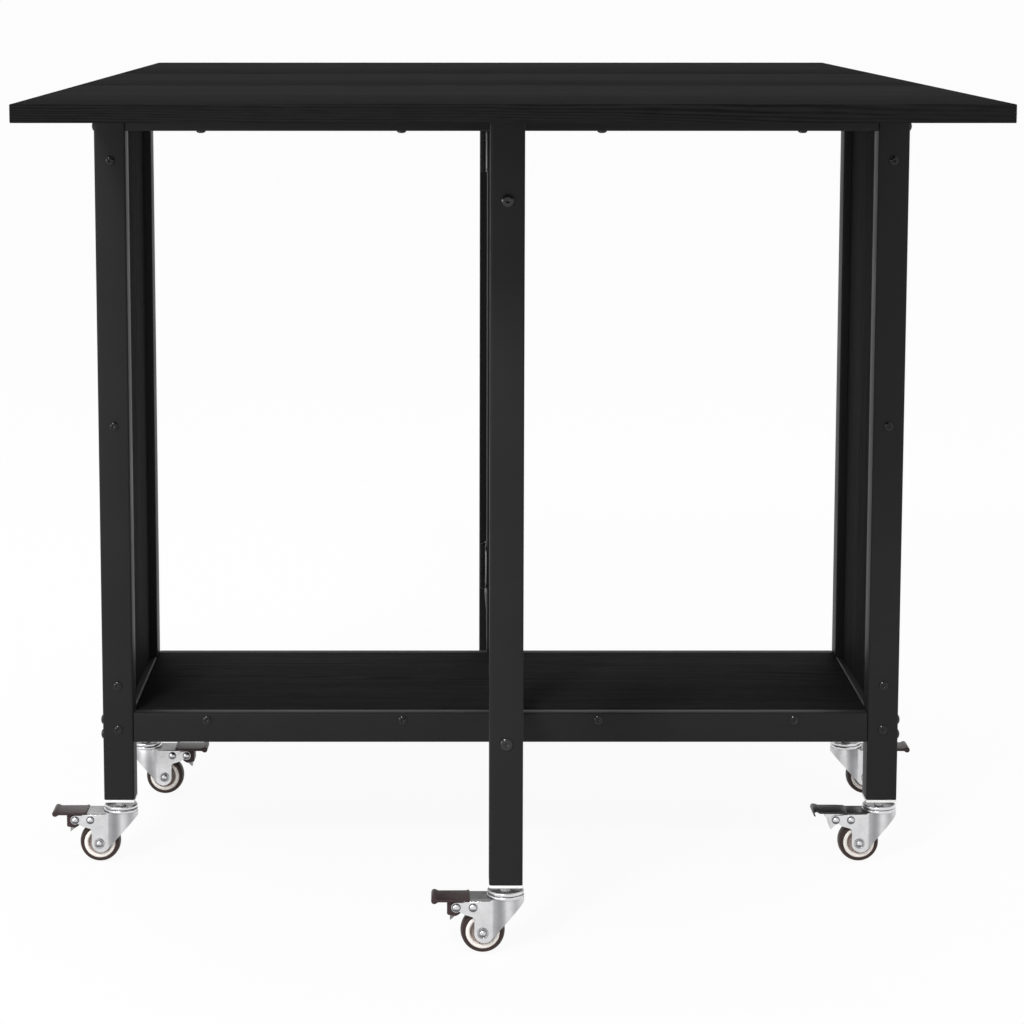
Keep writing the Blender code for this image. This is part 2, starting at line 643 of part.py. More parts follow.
def main():
    clear_scene()
    table = empty("table")
    halves = {
        "front": empty("front_half", table),
        "rear": empty("rear_half", table, turn=math.pi),
    }
    caster = Caster()
    build_top(table, halves)
    build_frame(table, halves)
    build_gates(halves, caster)
    build_casters(halves, caster)
    bpy.context.view_layer.update()


main()
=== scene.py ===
"""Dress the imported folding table: fine meshes, finishes, studio light and camera."""

import json
import logging
import math
from dataclasses import dataclass, field
from enum import Enum
from typing import Callable, List, Optional, Sequence, Tuple, Union

import bmesh
import bpy
from mathutils import Matrix, Vector

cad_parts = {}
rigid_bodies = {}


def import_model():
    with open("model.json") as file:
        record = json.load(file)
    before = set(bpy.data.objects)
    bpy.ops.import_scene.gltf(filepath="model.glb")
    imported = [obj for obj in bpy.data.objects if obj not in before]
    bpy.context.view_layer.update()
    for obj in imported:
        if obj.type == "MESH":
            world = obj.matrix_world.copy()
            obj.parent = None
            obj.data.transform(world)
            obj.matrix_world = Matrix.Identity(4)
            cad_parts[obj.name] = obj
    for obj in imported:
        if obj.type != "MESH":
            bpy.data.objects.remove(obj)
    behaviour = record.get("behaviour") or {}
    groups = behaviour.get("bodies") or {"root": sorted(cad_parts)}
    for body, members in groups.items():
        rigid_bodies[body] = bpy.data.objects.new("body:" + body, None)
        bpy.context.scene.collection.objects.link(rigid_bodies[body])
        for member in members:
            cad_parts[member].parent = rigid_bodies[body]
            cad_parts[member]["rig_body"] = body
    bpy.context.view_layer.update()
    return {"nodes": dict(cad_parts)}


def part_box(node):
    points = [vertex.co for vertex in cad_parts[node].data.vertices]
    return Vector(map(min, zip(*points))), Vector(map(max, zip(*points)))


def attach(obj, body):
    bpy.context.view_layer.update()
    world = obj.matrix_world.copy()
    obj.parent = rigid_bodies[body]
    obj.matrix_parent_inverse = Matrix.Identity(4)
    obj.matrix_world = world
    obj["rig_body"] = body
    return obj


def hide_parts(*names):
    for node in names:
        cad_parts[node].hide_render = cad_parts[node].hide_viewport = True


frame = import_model()

log = logging.getLogger("folding_table")

Colour = Tuple[float, float, float]
Point = Tuple[float, float]
Place = Tuple[float, float, float]
Outline = Sequence[Point]
Value = Union["Signal", float]
Paint = Union["Signal", Colour]

# Mesh attribute that carries painted shade and painted reflection on zinc parts: 0 none, 1 full.
PAINTED_SHADE_LAYER = "bloom"
WHITE = (1.0, 1.0, 1.0, 1.0)
SHARP_DEGREES = 42.0
MERGE_DISTANCE = 1e-6


class Axis(Enum):
    """A direction of the shared frame."""

    X = 0
    Y = 1
    Z = 2


class Half(Enum):
    """The two halves of the table, which are half a turn apart."""

    FRONT = "front"
    REAR = "rear"

    @property
    def turn(self) -> Matrix:
        """The turn that takes a shape of the front half to this half."""
        return Matrix.Rotation(math.pi if self is Half.REAR else 0.0, 4, "Z")

    @property
    def sign(self) -> float:
        """1 for the front half and -1 for the rear half."""
        return -1.0 if self is Half.REAR else 1.0


class PedalStyle(Enum):
    """The two kinds of brake pedal on the casters."""

    ROLLED = "brown plastic over a steel lever"
    PRESSED = "black pressed steel on a zinc bracket"


class Signal:
    """One output socket of a finish, with the arithmetic that adds Math nodes."""

    def __init__(self, graph: "Graph", socket: bpy.types.NodeSocket) -> None:
        """Keep the socket and the graph that it belongs to."""
        self.graph = graph
        self.socket = socket

    def __add__(self, other: Value) -> "Signal":
        """This value plus another."""
        return self.graph.maths("ADD", self, other)

    def __radd__(self, other: Value) -> "Signal":
        """Another value plus this one."""
        return self.graph.maths("ADD", other, self)

    def __sub__(self, other: Value) -> "Signal":
        """This value less another."""
        return self.graph.maths("SUBTRACT", self, other)

    def __rsub__(self, other: Value) -> "Signal":
        """Another value less this one."""
        return self.graph.maths("SUBTRACT", other, self)

    def __mul__(self, other: Value) -> "Signal":
        """This value times another."""
        return self.graph.maths("MULTIPLY", self, other)

    def __rmul__(self, other: Value) -> "Signal":
        """Another value times this one."""
        return self.graph.maths("MULTIPLY", other, self)


class Graph:
    """The node tree of one finish, or of the world."""

    def __init__(self, tree: bpy.types.NodeTree) -> None:
        """Empty a node tree and keep it."""
        self.tree = tree
        self.tree.nodes.clear()

    def node(
        self,
        kind: str,
        settings: Optional[dict] = None,
        sockets: Optional[dict] = None,
    ) -> bpy.types.Node:
        """Add one node.

        Args:
            kind: Blender's name of the node type.
            settings: properties of the node, set first; "stops" are those of a colour ramp.
            sockets: value or Signal for each input, by name or number.

        Returns:
            The new node.
        """
        made = self.tree.nodes.new(kind)
        for name, value in (settings or {}).items():
            if name == "stops":
                self.set_stops(made.color_ramp, value)
            else:
                setattr(made, name, value)
        for key, value in (sockets or {}).items():
            if isinstance(value, Signal):
                self.tree.links.new(value.socket, made.inputs[key])
            else:
                made.inputs[key].default_value = value
        return made

    @staticmethod
    def set_stops(ramp: bpy.types.ColorRamp, stops: Outline) -> None:
        """Set a ramp's stops.

        Args:
            ramp: the ramp of a colour ramp node.
            stops: position and grey value of each stop.
        """
        while len(ramp.elements) < len(stops):
            ramp.elements.new(0.5)
        for element, (position, value) in zip(ramp.elements, stops):
            element.position = position
            element.color = (value, value, value, 1.0)

    def signal(
        self,
        kind: str,
        output: Union[str, int],
        settings: Optional[dict] = None,
        sockets: Optional[dict] = None,
    ) -> Signal:
        """Add one node and take the output of a name or number as a Signal."""
        return Signal(self, self.node(kind, settings, sockets).outputs[output])

    def maths(self, operation: str, first: Value, second: Value) -> Signal:
        """Add a Math node on two values."""
        return self.signal("ShaderNodeMath", 0, {"operation": operation}, {0: first, 1: second})

    def blend(self, factor: Value, first: Paint, second: Paint) -> Signal:
        """Mix two colours by a factor."""
        ends = [paint if isinstance(paint, Signal) else (*paint, 1.0) for paint in (first, second)]
        return self.signal("ShaderNodeMix", 2, {"data_type": "RGBA"}, {0: factor, 6: ends[0], 7: ends[1]})

    def place(self, scale: Sequence[float] = (1.0, 1.0, 1.0)) -> Signal:
        """Object coordinates, stretched by a Mapping node."""
        where = self.signal("ShaderNodeTexCoord", "Object")
        return self.signal("ShaderNodeMapping", 0, None, {"Vector": where, "Scale": scale})

    def noise(self, where: Signal, scale: float, detail: float = 4.0, rough: float = 0.55) -> Signal:
        """A noise value at a place."""
        sockets = {"Vector": where, "Scale": scale, "Detail": detail, "Roughness": rough}
        return self.signal("ShaderNodeTexNoise", 0, None, sockets)

    def ramp(self, value: Signal, *stops: Point) -> Signal:
        """A value sent through a grey ramp."""
        return self.signal("ShaderNodeValToRGB", 0, {"stops": stops}, {"Fac": value})

    def bump(self, height: Signal, strength: float, depth: float) -> Signal:
        """A normal from a height."""
        sockets = {"Height": height, "Strength": strength, "Distance": depth}
        return self.signal("ShaderNodeBump", 0, None, sockets)

    def surface(self, sockets: dict) -> None:
        """End a material in a Principled shader with the given inputs."""
        shader = self.signal("ShaderNodeBsdfPrincipled", 0, None, sockets)
        self.node("ShaderNodeOutputMaterial", None, {"Surface": shader})


@dataclass(frozen=True)
class Finish:
    """What the finishes share: a material that is made once and then found by name."""

    name: str

    def material(self) -> bpy.types.Material:
        """Find or make this finish's material.

        Returns:
            The material.
        """
        known = bpy.data.materials.get(self.name)
        if known is not None:
            return known
        made = bpy.data.materials.new(self.name)
        made.use_nodes = True
        self.paint(Graph(made.node_tree))
        return made

    def paint(self, graph: Graph) -> None:
        """Fill the node tree; each finish has its own."""
        raise NotImplementedError


@dataclass(frozen=True)
class BoardFinish(Finish):
    """Black wood-grain board, with the grain along one axis."""

    grain: Axis
    dark: Colour
    light: Colour
    specular: float
    stretch: float = 0.08
    thickness_lean: float = 1.8
    line_gap: float = 0.0048
    arch_scale: float = 16.0
    arch: float = 0.080
    wave_scale: float = 90.0
    wave: float = 0.007
    patch_scale: float = 45.0
    patch_stops: Tuple[Point, Point] = ((0.32, 0.25), (0.66, 1.0))
    pore_scale: float = 520.0
    pore_stops: Tuple[Point, Point] = ((0.34, 1.0), (0.56, 0.0))
    line_share: float = 0.75
    pore_share: float = 0.25
    roughness: float = 0.70
    rough_lines: float = 0.12
    relief: float = 0.00012
    relief_strength: float = 0.30

    def paint(self, graph: Graph) -> None:
        """Wavy dark lines that bend into arches, come and go, and lie over short pores.

        Args:
            graph: the material's empty node tree.
        """
        stretch = [1.0, 1.0, 1.0]
        stretch[self.grain.value] = self.stretch
        where = graph.place(stretch)
        parts = graph.node("ShaderNodeSeparateXYZ", None, {0: where})
        wide = Signal(graph, parts.outputs["Y"])
        thick = Signal(graph, parts.outputs["X" if self.grain is Axis.Z else "Z"])
        arches = graph.noise(where, self.arch_scale, detail=1.0) * self.arch
        waves = graph.noise(where, self.wave_scale, detail=2.0) * self.wave
        turns = (wide + thick * self.thickness_lean + arches + waves) * (2 * math.pi / self.line_gap)
        lines = graph.maths("SINE", turns, 0.0) * 0.5 + 0.5
        patches = graph.ramp(graph.noise(where, self.patch_scale, detail=2.0), *self.patch_stops)
        pores = graph.ramp(graph.noise(where, self.pore_scale, detail=2.0), *self.pore_stops)
        height = 1.0 - lines * patches * self.line_share - pores * self.pore_share
        graph.surface(
            {
                "Base Color": graph.blend(height, self.dark, self.light),
                "Roughness": self.roughness + self.rough_lines * (1.0 - height),
                "Specular IOR Level": self.specular,
                "Normal": graph.bump(height, self.relief_strength, self.relief),
            }
        )


@dataclass(frozen=True)
class CoatFinish(Finish):
    """Black powder coat on steel tube, with a fine orange peel."""

    colour: Colour = (0.0158, 0.0158, 0.0160)
    worn: Colour = (0.0220, 0.0220, 0.0222)
    roughness: float = 0.44
    rough_drift: float = 0.12
    rough_peel: float = 0.05
    specular: float = 0.070
    drift_scale: float = 14.0
    drift_share: float = 0.7
    peel_scale: float = 900.0
    peel_share: float = 0.3
    peel_depth: float = 0.00006
    peel_strength: float = 0.5

    def paint(self, graph: Graph) -> None:
        """Orange peel as bump, with slow drifts of tone and gloss.

        Args:
            graph: the material's empty node tree.
        """
        where = graph.place()
        peel = graph.noise(where, self.peel_scale, detail=2.0)
        drift = graph.noise(where, self.drift_scale, detail=3.0)
        tone = drift * self.drift_share + peel * self.peel_share
        graph.surface(
            {
                "Base Color": graph.blend(tone, self.colour, self.worn),
                "Roughness": self.roughness + self.rough_drift * (drift - 0.5) + self.rough_peel * peel,
                "Specular IOR Level": self.specular,
                "Normal": graph.bump(peel, self.peel_strength, self.peel_depth),
            }
        )


@dataclass(frozen=True)
class MetalFinish(Finish):
    """Plated or bare steel, with faint clouds and drawing marks, and the painted shade and painted
    reflection that the mesh carries.
    """

    colour: Colour
    shade: Colour
    roughness: float
    metallic: float = 1.0
    # Colour that the painted shade darkens the plating to.
    painted_shade_colour: Colour = (0.15, 0.15, 0.16)
    cloud_scale: float = 120.0
    cloud_stops: Tuple[Point, Point] = ((0.30, 0.0), (0.70, 1.0))
    mark_scale: float = 1400.0
    mark_stretch: Place = (1.0, 1.0, 0.08)
    mark_depth: float = 0.00004
    mark_strength: float = 0.12
    rough_clouds: float = 0.10
    rough_marks: float = 0.06
    # Extra roughness where shade is painted.
    rough_painted_shade: float = 0.08

    def paint(self, graph: Graph) -> None:
        """Clouded plating over short drawing marks, with the painted shade and painted reflection that the
        mesh carries.

        Args:
            graph: the material's empty node tree.
        """
        clouds = graph.noise(graph.place(), self.cloud_scale, detail=3.0)
        marks = graph.noise(graph.place(self.mark_stretch), self.mark_scale, detail=2.0)
        tone = graph.ramp(clouds, *self.cloud_stops)
        # Painted shade and painted reflection, read from the mesh, darken the plating toward the shade
        # colour.
        bloom = graph.signal("ShaderNodeAttribute", "Fac", {"attribute_name": PAINTED_SHADE_LAYER})
        plating = graph.blend(tone, self.shade, self.colour)
        uneven = self.rough_clouds * (clouds - 0.5) + self.rough_marks * marks + self.rough_painted_shade * bloom
        graph.surface(
            {
                "Base Color": graph.blend(bloom, plating, self.painted_shade_colour),
                "Metallic": self.metallic,
                "Roughness": self.roughness + uneven,
                "Normal": graph.bump(marks, self.mark_strength, self.mark_depth),
            }
        )


@dataclass(frozen=True)
class MouldedFinish(Finish):
    """Moulded plastic or rubber, with a fine spark-eroded texture."""

    colour: Colour
    shade: Colour
    roughness: float
    specular: float = 0.45
    cloud_scale: float = 90.0
    texture_scale: float = 1600.0
    texture_depth: float = 0.00003
    texture_strength: float = 0.4
    rough_clouds: float = 0.14
    rough_texture: float = 0.06

    def paint(self, graph: Graph) -> None:
        """Slow clouds of tone under a fine moulded texture.

        Args:
            graph: the material's empty node tree.
        """
        where = graph.place()
        clouds = graph.noise(where, self.cloud_scale)
        texture = graph.noise(where, self.texture_scale, detail=2.0)
        uneven = self.rough_clouds * (clouds - 0.5) + self.rough_texture * texture
        graph.surface(
            {
                "Base Color": graph.blend(clouds, self.shade, self.colour),
                "Roughness": self.roughness + uneven,
                "Specular IOR Level": self.specular,
                "Normal": graph.bump(texture, self.texture_strength, self.texture_depth),
            }
        )


TOP_BOARD = BoardFinish(
    "board_black_top", Axis.X, (0.0050, 0.0050, 0.0050), (0.0140, 0.0140, 0.0139), specular=0.003
)
# The shelf and the end panels are the same black board as the top, painted lighter to make up for the shade
# under the top: painted light.
SHELF_BOARD_LIT = BoardFinish(
    "board_black_shelf_painted_light", Axis.X, (0.0072, 0.0072, 0.0072), (0.0205, 0.0205, 0.0204), specular=0.013
)
PANEL_BOARD_LIT = BoardFinish(
    "board_black_panel_painted_light", Axis.Z, (0.0078, 0.0078, 0.0078), (0.0225, 0.0225, 0.0224), specular=0.013
)
TUBE_COAT = CoatFinish("tube_powder_black")
ZINC = MetalFinish("zinc_plate", (0.76, 0.76, 0.77), (0.64, 0.64, 0.65), 0.25)
# A darker copy of the zinc plating: painted shade for the gate hinge plates that sit between post and
# stile.
ZINC_SHADED = MetalFinish("zinc_painted_shade", (0.36, 0.36, 0.37), (0.29, 0.29, 0.30), 0.34)
LEVER_STEEL = MetalFinish("lever_steel", (0.24, 0.24, 0.24), (0.18, 0.18, 0.18), 0.45, 0.30)
LEVER_BRIGHT = MetalFinish("lever_bright", (0.42, 0.42, 0.42), (0.34, 0.34, 0.34), 0.40, 0.50)
INSERT_WHITE = MouldedFinish("insert_white", (0.93, 0.93, 0.92), (0.88, 0.88, 0.87), 0.40)
TYRE_BROWN = MouldedFinish("tyre_brown", (0.046, 0.028, 0.024), (0.028, 0.017, 0.015), 0.44, 0.25)
RIM_CREAM = MouldedFinish("rim_cream", (0.95, 0.905, 0.86), (0.91, 0.85, 0.795), 0.34)
WEB_GREY = MouldedFinish("web_grey_brown", (0.43, 0.355, 0.32), (0.31, 0.25, 0.225), 0.45)
PEDAL_BROWN = MouldedFinish("pedal_brown", (0.050, 0.028, 0.030), (0.030, 0.017, 0.018), 0.38, 0.25)
PEDAL_BLACK = MouldedFinish("pedal_black", (0.030, 0.030, 0.031), (0.012, 0.012, 0.013), 0.34)
SCREW_BLACK = MouldedFinish("screw_black", (0.009, 0.009, 0.010), (0.005, 0.005, 0.005), 0.12, 0.28)
BOLT_BLACK = MouldedFinish("bolt_black", (0.014, 0.014, 0.015), (0.008, 0.008, 0.008), 0.16, 0.42)


class Blank:
    """A bmesh under way, with the operators that the pieces share."""

    def __init__(self) -> None:
        """Start with no geometry."""
        self.bm = bmesh.new()

    @classmethod
    def block(cls, low: Sequence[float], high: Sequence[float]) -> "Blank":
        """A block between two corners.

        Args:
            low: lowest corner.
            high: highest corner.

        Returns:
            The block, with flat faces.
        """
        made = cls()
        start = Vector(low)
        end = Vector(high)
        bmesh.ops.create_cube(made.bm, size=1.0)
        bmesh.ops.scale(made.bm, vec=end - start, verts=made.bm.verts[:])
        bmesh.ops.translate(made.bm, vec=(start + end) / 2, verts=made.bm.verts[:])
        return made

    @classmethod
    def prism(cls, outline: Outline, low: float, high: float) -> "Blank":
        """An outline in the XY plane, drawn up along Z.

        Args:
            outline: corners of the outline, in order.
            low: height of the lower face.
            high: height of the upper face.

        Returns:
            The closed prism.
        """
        made = cls()
        corners = [made.bm.verts.new((x, y, low)) for x, y in outline]
        face = made.bm.faces.new(corners)
        grown = bmesh.ops.extrude_face_region(made.bm, geom=[face])
        raised = [item for item in grown["geom"] if isinstance(item, bmesh.types.BMVert)]
        bmesh.ops.translate(made.bm, vec=(0.0, 0.0, high - low), verts=raised)
        bmesh.ops.recalc_face_normals(made.bm, faces=made.bm.faces[:])
        return made

    @classmethod
    def side_cut(cls, outline: Outline, half_width: float) -> "Blank":
        """An outline in the XZ plane, drawn out to both sides along Y."""
        made = cls.prism(outline, -half_width, half_width)
        return made.move(Matrix.Rotation(math.pi / 2, 4, "X"))

    @classmethod
    def turned(cls, profile: Outline, steps: int, ring: bool = False) -> "Blank":
        """A profile turned about the Z axis.

        Args:
            profile: radius and height of each point.
            steps: faces round the axis.
            ring: True where the profile closes on itself, clear of the axis.

        Returns:
            The turned shape, with smooth faces.
        """
        made = cls()
        points = [made.bm.verts.new((radius, 0.0, height)) for radius, height in profile]
        pairs = list(zip(points, points[1:]))
        if ring:
            pairs.append((points[-1], points[0]))
        edges = [made.bm.edges.new(pair) for pair in pairs]
        bmesh.ops.spin(
            made.bm,
            geom=points + edges,
            cent=(0.0, 0.0, 0.0),
            axis=(0.0, 0.0, 1.0),
            angle=2 * math.pi,
            steps=steps,
            use_merge=True,
        )
        bmesh.ops.remove_doubles(made.bm, verts=made.bm.verts[:], dist=MERGE_DISTANCE)
        bmesh.ops.recalc_face_normals(made.bm, faces=made.bm.faces[:])
        for face in made.bm.faces:
            face.smooth = True
        return made

    def ease(self, width: float, segments: int, chosen: Callable[[bmesh.types.BMEdge], bool]) -> "Blank":
        """Round the chosen edges.

        Args:
            width: how far the rounding reaches from the edge.
            segments: faces across the rounding.
            chosen: says of each edge whether it is rounded.

        Returns:
            This blank.
        """
        edges = [edge for edge in self.bm.edges if chosen(edge)]
        made = bmesh.ops.bevel(
            self.bm,
            geom=edges,
            offset=width,
            offset_type="OFFSET",
            affect="EDGES",
            segments=segments,
            profile=0.5,
            material=-1,
            clamp_overlap=True,
        )
        for face in made["faces"]:
            face.smooth = True
        return self

    def ease_sharp(self, width: float, segments: int = 2, degrees: float = 50.0) -> "Blank":
        """Round every edge that is sharper than an angle."""
        limit = math.radians(degrees)
        return self.ease(width, segments, lambda edge: edge.calc_face_angle(0.0) > limit)

    def bloom(self, amount: Callable[[bmesh.types.BMVert], float]) -> "Blank":
        """Paint shade into the plating at each vertex.

        Args:
            amount: gives 0, no painted shade, to 1, full painted shade, for a vertex.

        Returns:
            This blank.
        """
        layer = self.bm.verts.layers.float.new(PAINTED_SHADE_LAYER)
        self.bm.normal_update()
        for vert in self.bm.verts:
            vert[layer] = amount(vert)
        return self

    def move(self, matrix: Matrix) -> "Blank":
        """Move the whole blank by a matrix."""
        bmesh.ops.transform(self.bm, matrix=matrix, verts=self.bm.verts[:])
        return self

    def join(self, *others: "Blank") -> "Blank":
        """Take in other blanks, which end here.

        Args:
            others: blanks to add as they are.

        Returns:
            This blank.
        """
        for other in others:
            carrier = bpy.data.meshes.new("carrier")
            other.bm.to_mesh(carrier)
            other.bm.free()
            self.bm.from_mesh(carrier)
            bpy.data.meshes.remove(carrier)
        return self

    def mesh(self, name: str) -> bpy.types.Mesh:
        """End the blank as a mesh.

        Args:
            name: name of the mesh.

        Returns:
            The mesh, with edges sharp past a steep angle.
        """
        made = bpy.data.meshes.new(name)
        self.bm.to_mesh(made)
        self.bm.free()
        made.set_sharp_from_angle(angle=math.radians(SHARP_DEGREES))
        return made


def arc(centre: Point, radius: float, start: float, end: float, steps: int) -> List[Point]:
    """Points along a circle from one angle in degrees to another, both ends included."""
    angles = [math.radians(start + (end - start) * step / steps) for step in range(steps + 1)]
    return [(centre[0] + radius * math.cos(a), centre[1] + radius * math.sin(a)) for a in angles]


def between(value: float, stops: Outline) -> float:
    """The height of a line through some points, level beyond its ends.

    Args:
        value: place along the line.
        stops: place and height of each point, in rising order.

    Returns:
        The height there.
    """
    if value <= stops[0][0]:
        return stops[0][1]
    for (low, start), (high, end) in zip(stops, stops[1:]):
        if value <= high:
            return start + (end - start) * (value - low) / (high - low)
    return stops[-1][1]


def body_of(node: str) -> str:
    """The body that a CAD node rides on."""
    return frame["nodes"][node]["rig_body"]


def middle_of(node: str) -> Vector:
    """The middle of a CAD node's box."""
    low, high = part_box(node)
    return (low + high) / 2


def stand_in_scene(name: str, data: bpy.types.ID) -> bpy.types.Object:
    """Make an object and link it into the scene.

    Args:
        name: name of the object.
        data: its mesh, lamp or camera.

    Returns:
        The new object.
    """
    made = bpy.data.objects.new(name, data)
    bpy.context.scene.collection.objects.link(made)
    return made


def add_piece(name: str, blank: Blank, finish: Finish, body: str, slot: str, *stands_for: str) -> None:
    """Make a piece of a blank, dress it and let it ride on its body.

    Args:
        name: name of the piece.
        blank: its shape, in the shared frame.
        finish: its finish.
        body: the CAD body it moves with.
        slot: the record's material slot; not used.
        stands_for: CAD nodes that it stands for.
    """
    mesh = blank.mesh(name)
    mesh.materials.append(finish.material())
    made = stand_in_scene(name, mesh)
    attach(made, body)
    if stands_for:
        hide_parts(*stands_for)
    log.info("%s on %s, %d faces", name, body, len(mesh.polygons))


@dataclass(frozen=True)
class Screw:
    """A domed screw head with a hexagon socket, standing on a face."""

    radius: float
    side: float
    dome: float
    socket: float
    steps: int = 32
    dome_steps: int = 5
    lip: float = 1.12
    lip_drop: float = 0.96
    socket_wall: float = 0.55
    socket_point: float = 0.04
    flat: float = 0.87

    def height(self, reach: float) -> float:
        """The height of the dome over the face, at a distance from its middle."""
        return self.side + math.sqrt(self.dome**2 - reach**2) - math.sqrt(self.dome**2 - self.radius**2)

    def head(self, place: Sequence[float], outward: Sequence[float]) -> Blank:
        """Make one head on a face.

        Args:
            place: centre of the head on the face.
            outward: direction that the face looks.

        Returns:
            The head as a closed blank.
        """
        lip = self.socket * self.lip
        top = self.height(lip)
        profile = [(0.0, 0.0), (self.radius, 0.0)]
        for step in range(self.dome_steps + 1):
            reach = self.radius + (lip - self.radius) * step / self.dome_steps
            profile.append((reach, self.height(reach)))
        profile += [(self.socket, top * self.lip_drop), (self.socket, top * self.socket_wall)]
        profile.append((0.0, top * self.socket_point))
        blank = Blank.turned(profile, self.steps)
        sixth = math.pi / 3
        for vert in blank.bm.verts:
            reach = math.hypot(vert.co.x, vert.co.y)
            if 0.0 < reach < (self.socket + lip) / 2:
                turn = math.atan2(vert.co.y, vert.co.x) % sixth - sixth / 2
                vert.co.xy *= self.flat / math.cos(turn)
        facing = Vector(outward).to_track_quat("Z", "Y").to_matrix().to_4x4()
        return blank.move(Matrix.Translation(Vector(place)) @ facing)


@dataclass
class Boards:
    """The three boards of the top, the shelf and the two end panels."""

    ease: float = 0.0008
    ease_segments: int = 3

    def board(self, node: str) -> Blank:
        """A board with eased edges in the place of a CAD node."""
        return Blank.block(*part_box(node)).ease_sharp(self.ease, self.ease_segments)

    def dress(self) -> None:
        """Build and dress every board."""
        # The shelf and the panels take the lighter copies of the board, which are painted light.
        finishes = {
            "centre_top": TOP_BOARD,
            "front_leaf": TOP_BOARD,
            "rear_leaf": TOP_BOARD,
            "shelf_board": SHELF_BOARD_LIT,
            "end_panel_left": PANEL_BOARD_LIT,
            "end_panel_right": PANEL_BOARD_LIT,
        }
        for node, finish in finishes.items():
            add_piece(f"{node}_plank", self.board(node), finish, body_of(node), "board", node)


@dataclass
class Tubes:
    """The square and flat steel tubes of the frame."""

    corner: float = 0.0025
    corner_segments: int = 4
    end_ease: float = 0.0003
    end_degrees: float = 70.0

    def tube(self, low: Vector, high: Vector) -> Blank:
        """A length of tube along the longest side of a box.

        Args:
            low: lowest corner of the box.
            high: highest corner.

        Returns:
            The tube, with rounded corners and eased ends.
        """
        size = high - low
        along = max(range(3), key=lambda side: size[side])
        blank = Blank.block(low, high)

        def runs_along(edge: bmesh.types.BMEdge) -> bool:
            """True for an edge that runs the length of the tube."""
            return abs(edge.verts[1].co[along] - edge.verts[0].co[along]) > size[along] / 2

        blank.ease(self.corner, self.corner_segments, runs_along)
        return blank.ease_sharp(self.end_ease, 1, self.end_degrees)

    def dress(self) -> None:
        """Build and dress the legs, rails and hinge posts of the frame."""
        names = ["hinge_post_front", "hinge_post_rear", "gate_leg_front", "gate_leg_rear"]
        names += [f"leg_{end}_{hand}" for end in ("front", "rear") for hand in ("left", "right")]
        sides = ("front", "rear", "left", "right")
        names += [f"{level}_rail_{side}" for level in ("top", "shelf") for side in sides]
        for node in names:
            add_piece(f"{node}_tube", self.tube(*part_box(node)), TUBE_COAT, body_of(node), "tube", node)


